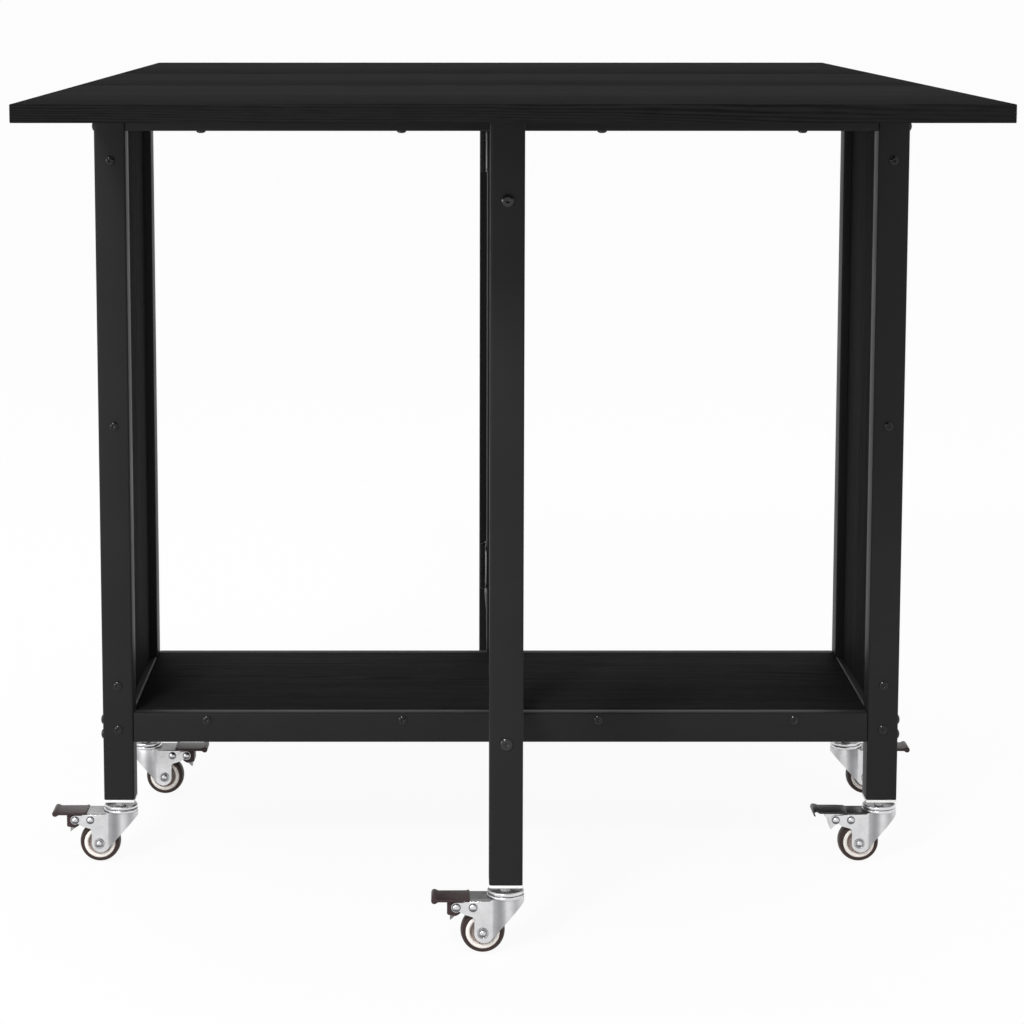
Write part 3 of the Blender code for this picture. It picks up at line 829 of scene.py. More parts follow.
@dataclass
class ButtHinge:
    """A butt hinge under a board: knuckles along X, plates out to either side, their fixed faces up."""

    length: float
    reach: float
    knuckle: float = 0.0035
    gap: float = 0.0004
    sheet: float = 0.0015
    corner: float = 0.003
    steps: int = 32
    pin_head: float = 0.0026
    pin_flat: float = 0.8
    pin_side: float = 0.0005
    pin_rise: float = 0.0007
    pin_steps: int = 24
    edge_share: float = 0.12
    corner_segments: int = 5
    plate_ease: float = 0.0002
    plate_degrees: float = 70.0
    screw: Screw = Screw(radius=0.0030, side=0.0001, dome=0.0300, socket=0.0013, steps=16)
    screw_inset: float = 0.009
    screw_across: float = 0.54

    @property
    def inner(self) -> float:
        """Half the length of the middle knuckle, which is a third of the hinge."""
        return self.length / 6

    def barrel(self, start: float, end: float) -> Blank:
        """One rolled knuckle between two places along X.

        Args:
            start: place of one end.
            end: place of the other end, further along.

        Returns:
            The knuckle about the X axis.
        """
        edge = self.knuckle * self.edge_share
        profile = [
            (0.0, start),
            (self.knuckle - edge, start),
            (self.knuckle, start + edge),
            (self.knuckle, end - edge),
            (self.knuckle - edge, end),
            (0.0, end),
        ]
        return Blank.turned(profile, self.steps).move(Matrix.Rotation(math.pi / 2, 4, "Y"))

    def knuckles(self, pinned: bool) -> Blank:
        """The outer knuckles with the pin's heads, or the middle knuckle.

        Args:
            pinned: True for the outer knuckles.

        Returns:
            The knuckles about the X axis.
        """
        slack = self.gap / 2
        if not pinned:
            return self.barrel(slack - self.inner, self.inner - slack)
        lower = self.barrel(-self.length / 2, -self.inner - slack)
        upper = self.barrel(self.inner + slack, self.length / 2)
        return self.pin().join(lower, upper)

    def plate(self, side: int, pinned: bool) -> Blank:
        """One plate with its screws.

        Args:
            side: 1 or -1, the side of Y that the plate lies on.
            pinned: True for the plate that goes with the outer knuckles.

        Returns:
            The plate.
        """
        half = self.length / 2
        near = self.knuckle + self.gap
        step = self.inner + self.gap / 2 if pinned else self.inner - self.gap / 2
        ends, middle = (0.0, near) if pinned else (near, 0.0)
        root = [(-half, ends), (-step, ends), (-step, middle), (step, middle), (step, ends), (half, ends)]
        outline = [(x, side * y) for x, y in root + [(half, self.reach), (-half, self.reach)]]
        blank = Blank.prism(outline, self.knuckle - self.sheet, self.knuckle)

        def outer_corner(edge: bmesh.types.BMEdge) -> bool:
            """True for the two upright edges at the plate's outer corners."""
            upright = abs(edge.verts[0].co.z - edge.verts[1].co.z) > self.sheet / 2
            return upright and abs(edge.verts[0].co.y) > self.reach / 2

        blank.ease(self.corner, self.corner_segments, outer_corner)
        return blank.ease_sharp(self.plate_ease, 1, self.plate_degrees).join(self.screws(side))

    def pin(self) -> Blank:
        """The two heads of the pin at the ends of the knuckles.

        Returns:
            Both heads.
        """
        blank = Blank()
        profile = [(0.0, 0.0), (self.pin_head, 0.0)]
        profile += [(self.pin_head * self.pin_flat, self.pin_side), (0.0, self.pin_rise)]
        for end in (-1, 1):
            place = Matrix.Translation((end * self.length / 2, 0.0, 0.0))
            turn = Matrix.Rotation(end * math.pi / 2, 4, "Y")
            blank.join(Blank.turned(profile, self.pin_steps).move(place @ turn))
        return blank

    def screws(self, side: int) -> Blank:
        """The screw heads on the open face of one plate.

        Args:
            side: 1 or -1, the side of Y that the plate lies on.

        Returns:
            Both heads.
        """
        blank = Blank()
        across = side * (self.knuckle + self.reach) * self.screw_across
        for along in (self.screw_inset - self.length / 2, self.length / 2 - self.screw_inset):
            place = (along, across, self.knuckle - self.sheet)
            blank.join(self.screw.head(place, (0.0, 0.0, -1.0)))
        return blank


@dataclass
class LeafHinges:
    """The four butt hinges that carry the leaves under the top."""

    line_y: float = -0.171
    line_z: float = 0.7482
    hinge: ButtHinge = field(default_factory=lambda: ButtHinge(length=0.060, reach=0.026))

    def dress(self) -> None:
        """Build and dress both plates of each hinge."""
        for half in Half:
            for hand in ("left", "right"):
                name = f"leaf_hinge_{half.value}_{hand}"
                across = middle_of(f"{name}_fixed").x * half.sign
                place = half.turn @ Matrix.Translation((across, self.line_y, self.line_z))
                fixed = self.hinge.plate(1, True).join(self.hinge.knuckles(True))
                moving = self.hinge.plate(-1, False).join(self.hinge.knuckles(False))
                for word, blank in (("fixed", fixed), ("moving", moving)):
                    node = f"{name}_{word}"
                    add_piece(f"{node}_plate", blank.move(place), ZINC, body_of(node), "zinc", node)


@dataclass
class Gates:
    """The two gates that swing out under the leaves, without their legs."""

    axis_x: float = 0.0138
    axis_y: float = -0.1387
    tube: float = 0.020
    stile_back: float = -0.1424
    stile_low: float = 0.159
    stile_high: float = 0.716
    rail_end: float = -0.3767
    rail_heights: Tuple[float, float] = (0.676, 0.194)
    rail_height: float = 0.030
    hinge_heights: Tuple[float, float] = (0.690, 0.244)
    weld: float = 0.0022
    weld_ease: float = 0.00099
    weld_segments: int = 4
    weld_sink: float = 0.0002
    hinge: ButtHinge = field(default_factory=lambda: ButtHinge(length=0.048, reach=0.018, corner=0.008))
    tubes: Tubes = field(default_factory=Tubes)

    def stile(self) -> Blank:
        """The upright of the front gate.

        Returns:
            The tube.
        """
        half = self.tube / 2
        low = Vector((-half, self.stile_back - self.tube, self.stile_low))
        return self.tubes.tube(low, Vector((half, self.stile_back, self.stile_high)))

    def rail(self, height: float) -> Blank:
        """One rail of the front gate, with the weld round its root.

        Args:
            height: height of the rail's middle.

        Returns:
            The tube with its weld.
        """
        half = self.tube / 2
        root = self.stile_back - self.tube
        low = height - self.rail_height / 2
        high = height + self.rail_height / 2
        rail_high = Vector((half, root + 2 * self.weld_sink, high))
        rail = self.tubes.tube(Vector((-half, self.rail_end, low)), rail_high)
        bead_half = half + self.weld / 4
        bead_low = (-bead_half, root - self.weld, low - self.weld / 2)
        bead_high = (bead_half, root + self.weld_sink, high + self.weld / 2)
        return rail.join(Blank.block(bead_low, bead_high).ease_sharp(self.weld_ease, self.weld_segments))

    def upright(self, height: float) -> Matrix:
        """The place of a hinge that stands upright on the gate's axis."""
        stand = Matrix.Rotation(-math.pi / 2, 4, "Y")
        return Matrix.Translation((self.axis_x, self.axis_y, height)) @ stand

    def dress(self) -> None:
        """Build and dress the gate frames and their hinges."""
        for half in Half:
            side = half.value
            node = f"gate_frame_{side}"
            welded = self.stile().join(*[self.rail(height) for height in self.rail_heights])
            add_piece(f"{node}_tubes", welded.move(half.turn), TUBE_COAT, body_of(node), "tube", node)
            for level, height in zip(("upper", "lower"), self.hinge_heights):
                place = half.turn @ self.upright(height)
                hinge = f"gate_hinge_{side}_{level}"
                post = body_of(hinge)
                gate = body_of(node)
                post_plate = self.hinge.plate(1, True).move(place)
                gate_plate = self.hinge.plate(-1, False).move(place)
                post_knuckles = self.hinge.knuckles(True).move(place)
                gate_knuckle = self.hinge.knuckles(False).move(place)
                # The hinge plates take the darker zinc copy, which is painted shade.
                add_piece(f"{hinge}_post_plate", post_plate, ZINC_SHADED, post, "zinc", hinge)
                add_piece(f"{hinge}_gate_plate", gate_plate, ZINC_SHADED, gate, "zinc")
                add_piece(f"{hinge}_post_knuckles", post_knuckles, TUBE_COAT, post, "tube")
                add_piece(f"{hinge}_gate_knuckle", gate_knuckle, TUBE_COAT, gate, "tube")


@dataclass
class Caster:
    """One braked swivel caster, about its stem, with the floor at 0 and the wheel trailing to -X."""

    name: str
    half: Half
    style: PedalStyle
    lever_finish: MetalFinish = LEVER_STEEL
    flange_half: float = 0.015
    flange_low: float = 0.0622
    flange_high: float = 0.0648
    flange_ease: float = 0.0006
    plug_half: float = 0.0132
    plug_high: float = 0.087
    plug_lap: float = 0.0004
    plug_ease: float = 0.0015
    race_radius: float = 0.0165
    race_low: float = 0.0542
    race_rim: float = 0.0575
    race_floor: float = 0.0556
    race_lip: float = 0.0016
    # Shade painted inside the cup's rim, so the recess looks dark.
    race_painted_shade: float = 0.65
    cup_steps: int = 64
    stem_radius: float = 0.0040
    boss_radius: float = 0.0048
    boss_gap: float = 0.0002
    boss_lap: float = 0.0003
    boss_ease: float = 0.0004
    crown_radius: float = 0.0168
    crown_low: float = 0.0494
    crown_high: float = 0.0539
    axle: Point = (-0.0205, 0.0200)
    pivot: Point = (-0.0442, 0.0437)
    plate_half: float = 0.0125
    sheet: float = 0.0015
    sheet_ease: float = 0.0003
    sheet_degrees: float = 60.0
    crease: float = -0.0106
    nose_start: float = -0.0014
    nose_half: float = 0.0108
    nose_degrees: float = 65.0
    nose_steps: int = 12
    apron_steps: int = 4
    # Painted shade and painted reflection along X: a dark band past the crease, then lighter and darker
    # bands across the nose.
    apron_painted_shade_and_reflection: Tuple[Point, ...] = (
        (-0.0124, 0.00),
        (-0.0106, 0.48),
        (-0.0049, 0.75),
        (-0.0019, 0.54),
        (0.0007, 0.00),
        (0.0046, 0.00),
        (0.0068, 0.31),
        (0.0090, 0.48),
        (0.0111, 0.41),
        (0.0133, 0.23),
        (0.0168, 0.07),
    )
    fold: float = 0.0011
    fold_segments: int = 5
    near: float = 1e-5
    lip: Point = (0.0168, 0.0462)
    apron_top: float = 0.0508
    neck: float = -0.0124
    plate_top: float = 0.0494
    plate_back: float = -0.0280
    axle_end: float = 0.0088
    end_shift: Point = (0.0013, -0.0003)
    arm_end: float = 0.0045
    arm_step: float = -0.0364
    rivet_gap: float = 0.015
    rivet_radius: float = 0.0040
    rivet_rise: float = 0.72
    rivet_foot: float = 0.0003
    rivet_sink: float = 0.0001
    rivet_steps: int = 40
    dome_steps: int = 10
    # Painted shade on rivet heads: a dark ring where the flank turns between these slopes, and a darker
    # side that faces the floor.
    rivet_steep: float = 0.95
    rivet_flank: float = 0.55
    rivet_underside_shade: Tuple[Point, ...] = ((0.05, 0.0), (0.20, 1.0), (0.66, 1.0), (0.85, 0.6))
    pin_radius: float = 0.003
    pin_half: float = 0.0124
    pin_steps: int = 32
    wheel_radius: float = 0.020
    wheel_half: float = 0.0085
    wheel_steps: int = 72
    rim_outer: float = 0.0154
    rim_inner: float = 0.0114
    web_half: float = 0.0040
    hub_radius: float = 0.0068
    hub_half: float = 0.0105
    pedal_half: float = 0.014
    pedal_ease: float = 0.0009
    lever_half: float = 0.0124
    lever_root: float = -0.0331
    lever_low: float = 0.0499
    lever_high: float = 0.0513
    lever_gap: float = 0.0001
    lever_steps: int = 12
    block_half: float = 0.0106
    block_ease: float = 0.0006
    tongue_half: float = 0.0050
    # Shade painted on the bracket faces that look along X.
    bracket_painted_shade: float = 0.37
    bracket_end: float = 0.6

    @property
    def stand(self) -> Matrix:
        """The place of this caster under its leg."""
        stem = middle_of(f"caster_{self.name}_socket")
        return Matrix.Translation((stem.x, stem.y, 0.0)) @ self.half.turn

    def insert(self) -> Blank:
        """The white insert: a flange under the tube, a plug inside it and a boss round the stem.

        Returns:
            The insert about the stem.
        """
        side = self.flange_half
        flange = Blank.block((-side, -side, self.flange_low), (side, side, self.flange_high))
        flange.ease_sharp(self.flange_ease)
        side = self.plug_half
        plug_low = self.flange_high - self.plug_lap
        plug = Blank.block((-side, -side, plug_low), (side, side, self.plug_high))
        foot = self.race_floor + self.boss_gap
        root = self.flange_low + self.boss_lap
        round_end = self.boss_radius - self.boss_ease
        boss = [(0.0, foot), (round_end, foot), (self.boss_radius, foot + self.boss_ease)]
        boss += [(self.boss_radius, root), (0.0, root)]
        return flange.join(plug.ease_sharp(self.plug_ease, 3), Blank.turned(boss, self.pin_steps))

    def race(self) -> Blank:
        """The upper swivel race: a rolled cup about the stem.

        Returns:
            The cup, with shade painted inside its rim.
        """
        rim = self.race_radius
        profile = [
            (0.0, self.race_low),
            (rim - 0.0015, self.race_low),
            (rim - 0.0004, self.race_low + 0.0004),
            (rim, self.race_low + 0.0013),
            (rim, self.race_rim - 0.0010),
            (rim - 0.0004, self.race_rim - 0.0003),
            (rim - 0.0011, self.race_rim),
            (rim - 0.0018, self.race_rim - 0.0004),
            (rim - 0.0022, self.race_floor + 0.0005),
            (rim - 0.0030, self.race_floor),
            (self.stem_radius + 0.0006, self.race_floor),
            (self.stem_radius, self.race_floor + 0.0006),
            (self.stem_radius, self.flange_low + 0.0002),
            (0.0, self.flange_low + 0.0002),
        ]
        cup = Blank.turned(profile, self.cup_steps)
        within = rim - self.race_lip
        # Paint shade on everything inside the rim's lip.
        return cup.bloom(lambda vert: self.race_painted_shade if vert.co.xy.length < within else 0.0)

    def crown(self) -> Blank:
        """The round crown of the fork, with its rim turned down.

        Returns:
            The crown about the stem.
        """
        rim = self.crown_radius
        profile = [
            (0.0, self.crown_low),
            (rim - 0.0046, self.crown_low),
            (rim - 0.0026, self.crown_low + 0.0006),
            (rim - 0.0008, self.crown_low + 0.0018),
            (rim, self.crown_low + 0.0028),
            (rim, self.crown_high - 0.0010),
            (rim - 0.0004, self.crown_high - 0.0003),
            (rim - 0.0012, self.crown_high),
            (0.0, self.crown_high),
        ]
        return Blank.turned(profile, self.cup_steps)

    @property
    def axle_seat(self) -> Matrix:
        """The place of what is turned about the axle."""
        seat = Matrix.Translation((self.axle[0], 0.0, self.axle[1]))
        return seat @ Matrix.Rotation(math.pi / 2, 4, "X")

    @property
    def end_centre(self) -> Point:
        """The middle of the round end of the side plate, a little off the axle."""
        return self.axle[0] + self.end_shift[0], self.axle[1] + self.end_shift[1]

    def front_edge(self) -> Tuple[float, float, float]:
        """The slanted front edge of the fork.

        Returns:
            Its slope, the angle in degrees at which it meets the round end, and its height at X 0.
        """
        end_x, end_z = self.end_centre
        over = self.lip[0] - end_x
        up = self.lip[1] - end_z
        touch = math.atan2(up, over) - math.acos(self.axle_end / math.hypot(over, up))
        foot = (end_x + self.axle_end * math.cos(touch), end_z + self.axle_end * math.sin(touch))
        slope = (self.lip[1] - foot[1]) / (self.lip[0] - foot[0])
        return slope, math.degrees(touch), self.lip[1] - slope * self.lip[0]

    def plan(self) -> Outline:
        """The outer face of the fork seen from above, from the middle of the nose to the neck.

        Returns:
            X and Y of its points, on the side of -Y.
        """
        last = math.radians(self.nose_degrees)
        depth = self.nose_half / math.sin(last)
        reach = (self.lip[0] - self.nose_start) / (1.0 - math.cos(last))
        centre = self.lip[0] - reach
        turns = [last * step / self.nose_steps for step in range(self.nose_steps + 1)]
        nose = [(centre + reach * math.cos(t), -depth * math.sin(t)) for t in turns]
        root = Vector(nose[-1])
        crease = Vector((self.crease, -self.plate_half))
        shares = [step / self.apron_steps for step in range(1, self.apron_steps + 1)]
        apron = [tuple(root.lerp(crease, share)) for share in shares]
        return nose + apron + [(self.neck, -self.plate_half)]

    def plate_outline(self) -> Outline:
        """The flat side plate of the fork behind its neck, in the XZ plane.

        Returns:
            X and Z of its corners, in order.
        """
        slope, touch, base = self.front_edge()
        pivot_x, pivot_z = self.pivot
        return [
            (self.neck, base + slope * self.neck),
            *arc(self.end_centre, self.axle_end, touch, -180.0, 14),
            (self.plate_back, 0.0325),
            (self.plate_back - 0.0004, 0.0338),
            (self.plate_back - 0.0016, 0.0349),
            (pivot_x + 0.0072, 0.0372),
            *arc(self.pivot, self.arm_end, -55.0, -270.0, 12),
            (self.arm_step - 0.0012, pivot_z + self.arm_end),
            (self.arm_step - 0.0002, pivot_z + self.arm_end + 0.0004),
            (self.arm_step, self.plate_top),
            (self.neck - 0.0014, self.plate_top),
            (self.neck, self.apron_top),
        ]

    def sheet_fork(self) -> Blank:
        """The bent sheet of the fork: an apron round the nose and two side plates.

        Returns:
            The sheet, without the crown and the rivets.
        """
        slope, _, base = self.front_edge()
        blank = Blank()
        bm = blank.bm
        plan = self.plan()
        first_x, first_y = plan[0]
        foot = bm.verts.new((first_x, first_y, base + slope * first_x))
        head = bm.verts.new((first_x, first_y, self.apron_top))
        edge = bm.edges.new((foot, head))
        for x, y in plan[1:]:
            grown = bmesh.ops.extrude_edge_only(bm, edges=[edge])["geom"]
            ends = [item for item in grown if isinstance(item, bmesh.types.BMVert)]
            ends.sort(key=lambda vert: vert.co.z)
            ends[0].co = (x, y, base + slope * x)
            ends[1].co = (x, y, self.apron_top)
            edge = bm.edges.get(ends)
        bm.faces.new([bm.verts.new((x, -self.plate_half, z)) for x, z in self.plate_outline()])
        bmesh.ops.remove_doubles(bm, verts=bm.verts[:], dist=MERGE_DISTANCE)
        one_side = bm.verts[:] + bm.edges[:] + bm.faces[:]
        bmesh.ops.mirror(bm, geom=one_side, merge_dist=MERGE_DISTANCE, axis="Y")
        bmesh.ops.recalc_face_normals(bm, faces=bm.faces[:])
        front = max(bm.faces, key=lambda face: face.calc_center_median().x)
        if front.normal.x < 0.0:
            bmesh.ops.reverse_faces(bm, faces=bm.faces[:])
        bmesh.ops.solidify(bm, geom=bm.faces[:], thickness=self.sheet)

        def folded(edge: bmesh.types.BMEdge) -> bool:
            """True for the upper outer edge of a side plate."""
            level = all(abs(vert.co.z - self.plate_top) < self.near for vert in edge.verts)
            return level and all(abs(vert.co.y) > self.plate_half - self.near for vert in edge.verts)

        blank.ease(self.fold, self.fold_segments, folded)
        blank.ease_sharp(self.sheet_ease, 2, self.sheet_degrees)
        for face in bm.faces:
            face.smooth = face.smooth or len(face.verts) == 4
        # The apron carries painted shade and painted reflection bands along X.
        return blank.bloom(lambda vert: between(vert.co.x, self.apron_painted_shade_and_reflection))

    def rivet_painted_shade(self, vert: bmesh.types.BMVert) -> float:
        """How much shade is painted on a rivet head: a ring round its flank and the side that faces the
        floor.
        """
        flank = between(abs(vert.normal.y), ((self.rivet_flank, 1.0), (self.rivet_steep, 0.0)))
        return max(flank, between(-vert.normal.z, self.rivet_underside_shade))

    def rivet(self, place: Point, profile: Outline) -> Blank:
        """A pair of rivet heads, one on each side plate.

        Args:
            place: X and Z of the rivet.
            profile: radius and height of the head over the plate.

        Returns:
            Both heads.
        """
        blank = Blank()
        for side in (-1, 1):
            seat = Matrix.Translation((place[0], side * (self.plate_half - self.rivet_sink), place[1]))
            turn = Matrix.Rotation(-side * math.pi / 2, 4, "X")
            head = Blank.turned(profile, self.rivet_steps).move(seat @ turn)
            # Each head carries its painted shade.
            blank.join(head.bloom(self.rivet_painted_shade))
        return blank

    def axle_rivet(self) -> Blank:
        """The riveted axle: a flat washer head with a boss, and the pin through the hub.

        Returns:
            Both heads and the pin.
        """
        profile = [
            (0.0, 0.0),
            (0.0051, 0.0),
            (0.0051, 0.0007),
            (0.0047, 0.0013),
            (0.0041, 0.0014),
            (0.0035, 0.0009),
            (0.0032, 0.0013),
            (0.0027, 0.0021),
            (0.0016, 0.0025),
            (0.0, 0.0026),
        ]
        heads = self.rivet(self.axle, profile)
        half = self.pin_half
        pin = [(0.0, -half), (self.pin_radius, -half), (self.pin_radius, half), (0.0, half)]
        return heads.join(Blank.turned(pin, self.pin_steps).move(self.axle_seat))

    def dome_rivets(self) -> Blank:
        """The two domed rivets of the brake arm.

        Returns:
            Their four heads.
        """
        dome = arc((0.0, self.rivet_foot), self.rivet_radius, 0.0, 90.0, self.dome_steps)
        profile = [(0.0, 0.0), (self.rivet_radius, 0.0)]
        profile += [(radius, height * self.rivet_rise) for radius, height in dome]
        second = (self.pivot[0] + self.rivet_gap, self.pivot[1])
        return self.rivet(self.pivot, profile).join(self.rivet(second, profile))

    def roll(self, side: List[Point]) -> Blank:
        """A ring about the axle, from the radius of each point on one side and its place along the axle."""
        other = [(radius, -place) for radius, place in reversed(side) if place]
        return Blank.turned(side + other, self.wheel_steps, True).move(self.axle_seat)

    def tyre(self) -> Blank:
        """The crowned tyre on the rim.

        Returns:
            The tyre on the axle.
        """
        half = self.wheel_half
        outer = self.wheel_radius
        side = [
            (self.rim_outer - 0.0004, half - 0.0006),
            (self.rim_outer + 0.0004, half - 0.0002),
            (outer - 0.0026, half),
            (outer - 0.0019, half - 0.0003),
            (outer - 0.0012, half - 0.0012),
            (outer - 0.0006, half - 0.0030),
            (outer - 0.0002, half - 0.0055),
            (outer, 0.0),
        ]
        return self.roll(side)

    def rim(self) -> Blank:
        """The cream rim that stands a little proud of the tyre.

        Returns:
            The rim on the axle.
        """
        half = self.wheel_half
        side = [
            (self.rim_inner, half - 0.0012),
            (self.rim_inner + 0.0003, half - 0.0003),
            (self.rim_inner + 0.0010, half + 0.0003),
            (self.rim_inner + 0.0022, half + 0.0004),
            (self.rim_outer - 0.0007, half + 0.0001),
            (self.rim_outer, half - 0.0006),
        ]
        return self.roll(side)

    def web(self) -> Blank:
        """The recessed web of the wheel and its hub.

        Returns:
            The web on the axle.
        """
        rim = self.rim_inner + 0.0002
        side = [
            (self.pin_radius + 0.0001, self.hub_half),
            (self.hub_radius - 0.0004, self.hub_half),
            (self.hub_radius, self.hub_half - 0.0004),
            (self.hub_radius, self.web_half + 0.0008),
            (self.hub_radius + 0.0008, self.web_half),
            (rim - 0.0008, self.web_half),
            (rim, self.web_half + 0.0008),
        ]
        return self.roll(side)

    def rolled_pedal(self) -> Blank:
        """The plastic pedal: a flat with a rolled outer end, a bead at its root and the block below.

        Returns:
            The pedal with its block.
        """
        outline = [
            (-0.0368, 0.0497),
            (-0.0324, 0.0497),
            (-0.0322, 0.0516),
            (-0.0328, 0.0522),
            (-0.0342, 0.0522),
            (-0.0352, 0.0517),
            (-0.0600, 0.0516),
            *arc((-0.0638, 0.0501), 0.0029, 60.0, 300.0, 12),
            (-0.0604, 0.0488),
            (-0.0380, 0.0489),
        ]
        pedal = Blank.side_cut(outline, self.pedal_half).ease_sharp(self.pedal_ease, 3, self.sheet_degrees)
        block_outline = [
            (-0.0525, 0.0492),
            (-0.0525, 0.0374),
            (-0.0516, 0.0364),
            (-0.0444, 0.0352),
            (-0.0404, 0.0378),
            (-0.0400, 0.0492),
        ]
        block = Blank.side_cut(block_outline, self.block_half).ease_sharp(self.block_ease)
        return pedal.join(block)

    def lever(self) -> Blank:
        """The flat steel lever, with a hollow end that goes round the crown.

        Returns:
            The lever.
        """
        reach = self.crown_radius - self.lever_gap
        spread = math.degrees(math.asin(self.lever_half / reach))
        hollow = arc((0.0, 0.0), reach, 180.0 + spread, 180.0 - spread, self.lever_steps)
        outline = [(self.lever_root, -self.lever_half), *hollow, (self.lever_root, self.lever_half)]
        lever = Blank.prism(outline, self.lever_low, self.lever_high)
        return lever.ease_sharp(self.sheet_ease, 2, self.sheet_degrees)

    def tongue(self) -> Blank:
        """The pointed steel tongue under the block.

        Returns:
            The tongue.
        """
        outline = [
            (-0.0497, 0.0374),
            (-0.0499, 0.0302),
            (-0.0496, 0.0299),
            (-0.0430, 0.0357),
            (-0.0440, 0.0374),
        ]
        return Blank.side_cut(outline, self.tongue_half).ease_sharp(self.sheet_ease)

    def pressed_pedal(self) -> Blank:
        """The pressed pedal: a thin plate with a curled outer end.

        Returns:
            The pedal.
        """
        outline = [
            (-0.0330, 0.0500),
            (-0.0330, 0.0516),
            (-0.0420, 0.0520),
            (-0.0590, 0.0520),
            *arc((-0.0635, 0.0503), 0.0030, 70.0, 250.0, 14),
            *arc((-0.0635, 0.0503), 0.0018, 250.0, 80.0, 12),
            (-0.0600, 0.0504),
        ]
        pedal = Blank.side_cut(outline, self.pedal_half)
        return pedal.ease_sharp(self.sheet_ease, 2, self.sheet_degrees)

    def bracket(self) -> Blank:
        """The stepped zinc bracket under the pressed pedal, ending in a tongue.

        Returns:
            The bracket, with shade painted on the faces that look along X.
        """
        outline = [
            (-0.0546, 0.0502),
            (-0.0546, 0.0464),
            (-0.0513, 0.0462),
            (-0.0504, 0.0392),
            (-0.0489, 0.0335),
            (-0.0437, 0.0386),
            (-0.0404, 0.0400),
            (-0.0400, 0.0502),
        ]
        bracket = Blank.side_cut(outline, self.block_half).ease_sharp(self.sheet_ease)
        limit = self.bracket_end
        # Paint shade on the faces that look along X.
        return bracket.bloom(lambda vert: self.bracket_painted_shade if abs(vert.normal.x) > limit else 0.0)

    def put(self, word: str, blank: Blank, finish: Finish, node: str, slot: str, *stands_for: str) -> None:
        """Add one piece of the caster, shaped about its stem, on the body of a CAD node."""
        name = f"caster_{self.name}_{word}"
        add_piece(name, blank.move(self.stand), finish, body_of(node), slot, *stands_for)

    def dress(self) -> None:
        """Build and dress the caster on its bodies."""
        base = f"caster_{self.name}"
        socket, fork, wheel, brake = [f"{base}_{part}" for part in ("socket", "fork", "wheel", "brake")]
        sheet = self.sheet_fork().join(self.crown(), self.axle_rivet(), self.dome_rivets())
        self.put("insert", self.insert(), INSERT_WHITE, socket, "insert", socket)
        self.put("race", self.race(), ZINC, socket, "zinc")
        self.put("sheet_fork", sheet, ZINC, fork, "zinc", fork)
        self.put("tyre", self.tyre(), TYRE_BROWN, wheel, "tyre", wheel)
        self.put("rim", self.rim(), RIM_CREAM, wheel, "insert")
        self.put("web", self.web(), WEB_GREY, wheel, "insert")
        if self.style is PedalStyle.ROLLED:
            self.put("pedal", self.rolled_pedal(), PEDAL_BROWN, brake, "pedal", brake)
            self.put("lever", self.lever().join(self.tongue()), self.lever_finish, brake, "zinc")
        else:
            self.put("pedal", self.pressed_pedal().join(self.lever()), PEDAL_BLACK, brake, "pedal", brake)
            self.put("bracket", self.bracket(), ZINC, brake, "zinc")


@dataclass
class Fasteners:
    """The black screws and bolts of the frame and the gates."""

    screw: Screw = Screw(radius=0.0044, side=0.0011, dome=0.0073, socket=0.0017)
    bolt: Screw = Screw(radius=0.0053, side=0.0014, dome=0.0095, socket=0.0024)
    leg_x: float = 0.375
    outer_x: float = 0.390
    face_y: float = -0.135
    rail_y: float = -0.1275
    leg_heights: Tuple[float, ...] = (0.694, 0.437, 0.180, 0.136)
    side_heights: Tuple[float, ...] = (0.1445, 0.1300, 0.7265, 0.7415)
    rail_places: Tuple[float, ...] = (-0.288, -0.096, 0.096, 0.288)
    shelf_rail_height: float = 0.1456
    top_rail_base: float = 0.722
    gate_face_y: float = -0.407
    gate_heights: Tuple[float, float] = (0.676, 0.194)

    def frame_heads(self) -> Blank:
        """The screws of one half of the frame.

        Returns:
            All the heads, on the front half.
        """
        forward = (0.0, -1.0, 0.0)
        down = (0.0, 0.0, -1.0)
        spots = []
        for side in (-1.0, 1.0):
            outward = (side, 0.0, 0.0)
            spots += [((side * self.leg_x, self.face_y, z), forward) for z in self.leg_heights]
            spots += [((side * self.outer_x, self.rail_y, z), outward) for z in self.side_heights]
        for x in self.rail_places:
            spots.append(((x, self.face_y, self.shelf_rail_height), forward))
            spots.append(((x, self.rail_y, self.top_rail_base), down))
        return Blank().join(*[self.screw.head(place, facing) for place, facing in spots])

    def gate_heads(self) -> Blank:
        """The two bolts through one gate leg."""
        places = [(0.0, self.gate_face_y, z) for z in self.gate_heights]
        return Blank().join(*[self.bolt.head(place, (0.0, -1.0, 0.0)) for place in places])

    def dress(self) -> None:
        """Build and dress the screws of both halves."""
        for half in Half:
            side = half.value
            screws = self.frame_heads().move(half.turn)
            bolts = self.gate_heads().move(half.turn)
            add_piece(f"frame_screws_{side}", screws, SCREW_BLACK, body_of(f"leg_{side}_left"), "tube")
            add_piece(f"gate_bolts_{side}", bolts, BOLT_BLACK, body_of(f"gate_leg_{side}"), "tube")


@dataclass(frozen=True)
class Lamp:
    """One soft square lamp."""

    name: str
    place: Place
    aim: Place
    size: float
    power: float

    def light(self) -> None:
        """Stand the lamp in its place and turn it to its aim."""
        data = bpy.data.lights.new(self.name, "AREA")
        data.shape = "SQUARE"
        data.size = self.size
        data.energy = self.power
        made = stand_in_scene(self.name, data)
        made.location = self.place
        made.rotation_euler = (Vector(self.aim) - made.location).to_track_quat("-Z", "Y").to_euler()


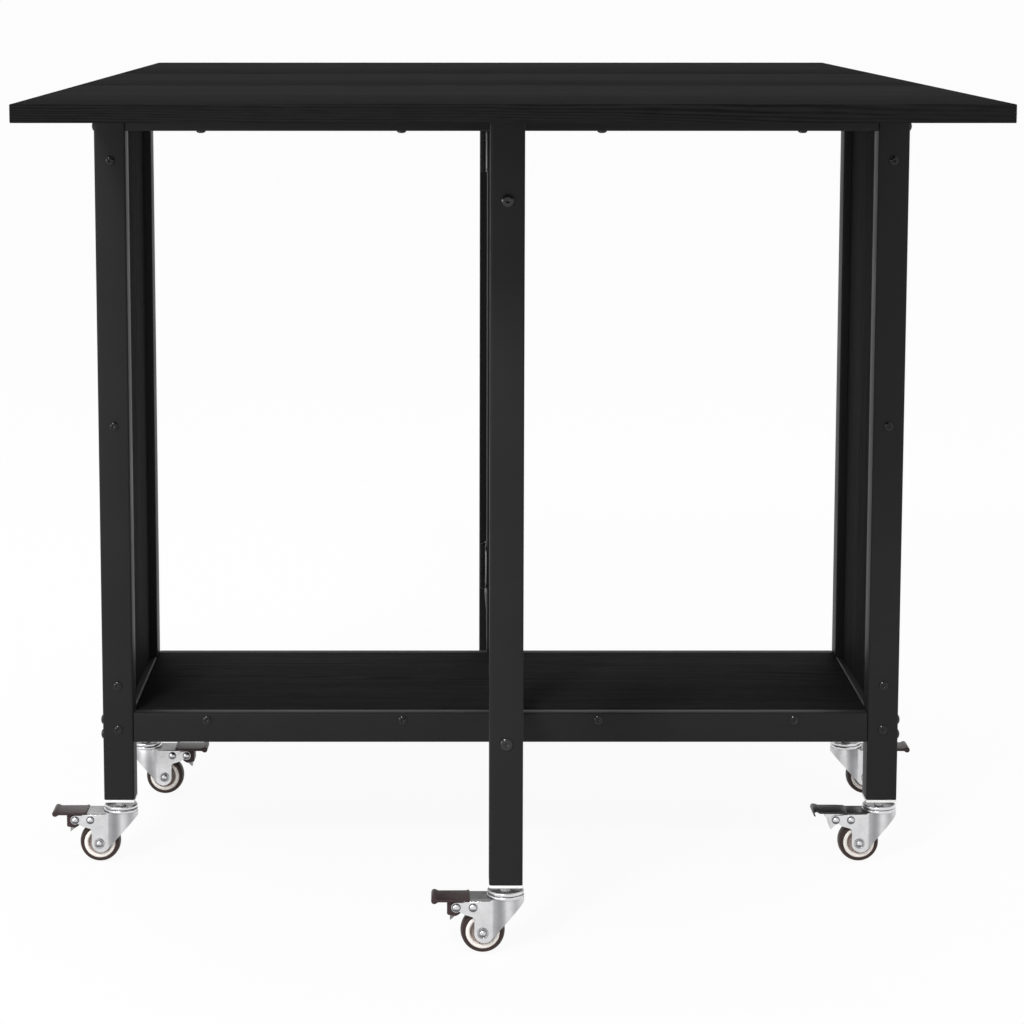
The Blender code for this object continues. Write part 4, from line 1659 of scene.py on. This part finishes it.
@dataclass
class Studio:
    """The pale floor, the soft light and the camera."""

    floor_size: float = 3000.0
    floor_white: float = 0.95
    floor_own: float = 0.93
    sky_fill: float = 0.70
    lamps: Tuple[Lamp, ...] = (
        Lamp("key_left", place=(-1.35, -3.30, 3.20), aim=(0.0, 0.0, 0.45), size=0.7, power=82.0),
        Lamp("soft_left", place=(-1.60, -1.40, 0.60), aim=(-0.3, 0.0, 0.45), size=0.6, power=7.0),
        Lamp("top_soft", place=(0.0, 0.3, 3.6), aim=(0.0, 0.0, 0.5), size=2.6, power=24.0),
    )
    camera_place: Place = (-0.0524, -2.9010, 0.8630)
    camera_pitch: float = 7.412
    camera_lens: float = 101.669
    camera_sensor: float = 36.0
    camera_shift: Point = (0.0634, -0.15)

    def seen_directly(self, graph: Graph) -> Signal:
        """1 for the rays of the camera, of mirrors and of glass, and 0 for the rest.

        Args:
            graph: the node tree that asks.

        Returns:
            The value as a Signal.
        """
        path = graph.node("ShaderNodeLightPath")
        camera = Signal(graph, path.outputs["Is Camera Ray"])
        mirror = Signal(graph, path.outputs["Is Glossy Ray"])
        through = Signal(graph, path.outputs["Is Transmission Ray"])
        either = graph.maths("MAXIMUM", camera, mirror)
        return graph.maths("MAXIMUM", either, through)

    def floor(self) -> None:
        """A wide pale floor that keeps the table's shadow."""
        blank = Blank()
        bmesh.ops.create_grid(blank.bm, x_segments=1, y_segments=1, size=self.floor_size / 2)
        material = bpy.data.materials.new("studio_floor")
        material.use_nodes = True
        graph = Graph(material.node_tree)
        white = (self.floor_white, self.floor_white, self.floor_white, 1.0)
        paint = graph.signal("ShaderNodeBsdfDiffuse", 0, None, {"Color": white})
        glow = graph.signal("ShaderNodeEmission", 0, None, {"Color": WHITE, "Strength": 1.0})
        share = self.seen_directly(graph) * self.floor_own
        both = graph.signal("ShaderNodeMixShader", 0, None, {0: share, 1: paint, 2: glow})
        graph.node("ShaderNodeOutputMaterial", None, {"Surface": both})
        mesh = blank.mesh("studio_floor")
        mesh.materials.append(material)
        made = stand_in_scene("studio_floor", mesh)

    def sky(self) -> None:
        """A white surround that lights the table a little from every side."""
        world = bpy.data.worlds.new("studio_sky")
        world.use_nodes = True
        bpy.context.scene.world = world
        graph = Graph(world.node_tree)
        seen = self.seen_directly(graph)
        strength = self.sky_fill + (1.0 - self.sky_fill) * seen
        light = graph.signal("ShaderNodeBackground", 0, None, {"Color": WHITE, "Strength": strength})
        graph.node("ShaderNodeOutputWorld", None, {"Surface": light})

    def camera(self) -> None:
        """Stand the camera where the photograph was taken from."""
        data = bpy.data.cameras.new("camera")
        data.lens = self.camera_lens
        data.sensor_width = self.camera_sensor
        data.shift_x, data.shift_y = self.camera_shift
        made = stand_in_scene("camera", data)
        made.location = self.camera_place
        made.rotation_euler = (math.radians(90.0 - self.camera_pitch), 0.0, 0.0)
        bpy.context.scene.camera = made

    def set_up(self) -> None:
        """Lay the floor, light the scene and place the camera."""
        self.floor()
        self.sky()
        for lamp in self.lamps:
            lamp.light()
        self.camera()
        bpy.context.scene.view_settings.view_transform = "Standard"


CASTERS: Tuple[Caster, ...] = (
    Caster("front_left", Half.FRONT, PedalStyle.ROLLED, LEVER_BRIGHT),
    Caster("front_right", Half.FRONT, PedalStyle.PRESSED),
    Caster("gate_front", Half.FRONT, PedalStyle.ROLLED),
    Caster("rear_left", Half.REAR, PedalStyle.ROLLED, LEVER_BRIGHT),
    Caster("rear_right", Half.REAR, PedalStyle.ROLLED, LEVER_BRIGHT),
    Caster("gate_rear", Half.REAR, PedalStyle.ROLLED),
)


def main() -> None:
    """Build and dress the table piece by piece, then set up the studio."""
    logging.basicConfig(level=logging.INFO, format="%(message)s")
    Studio().set_up()
    Boards().dress()
    Tubes().dress()
    Gates().dress()
    LeafHinges().dress()
    for caster in CASTERS:
        caster.dress()
    Fasteners().dress()


if __name__ == "__main__":
    main()
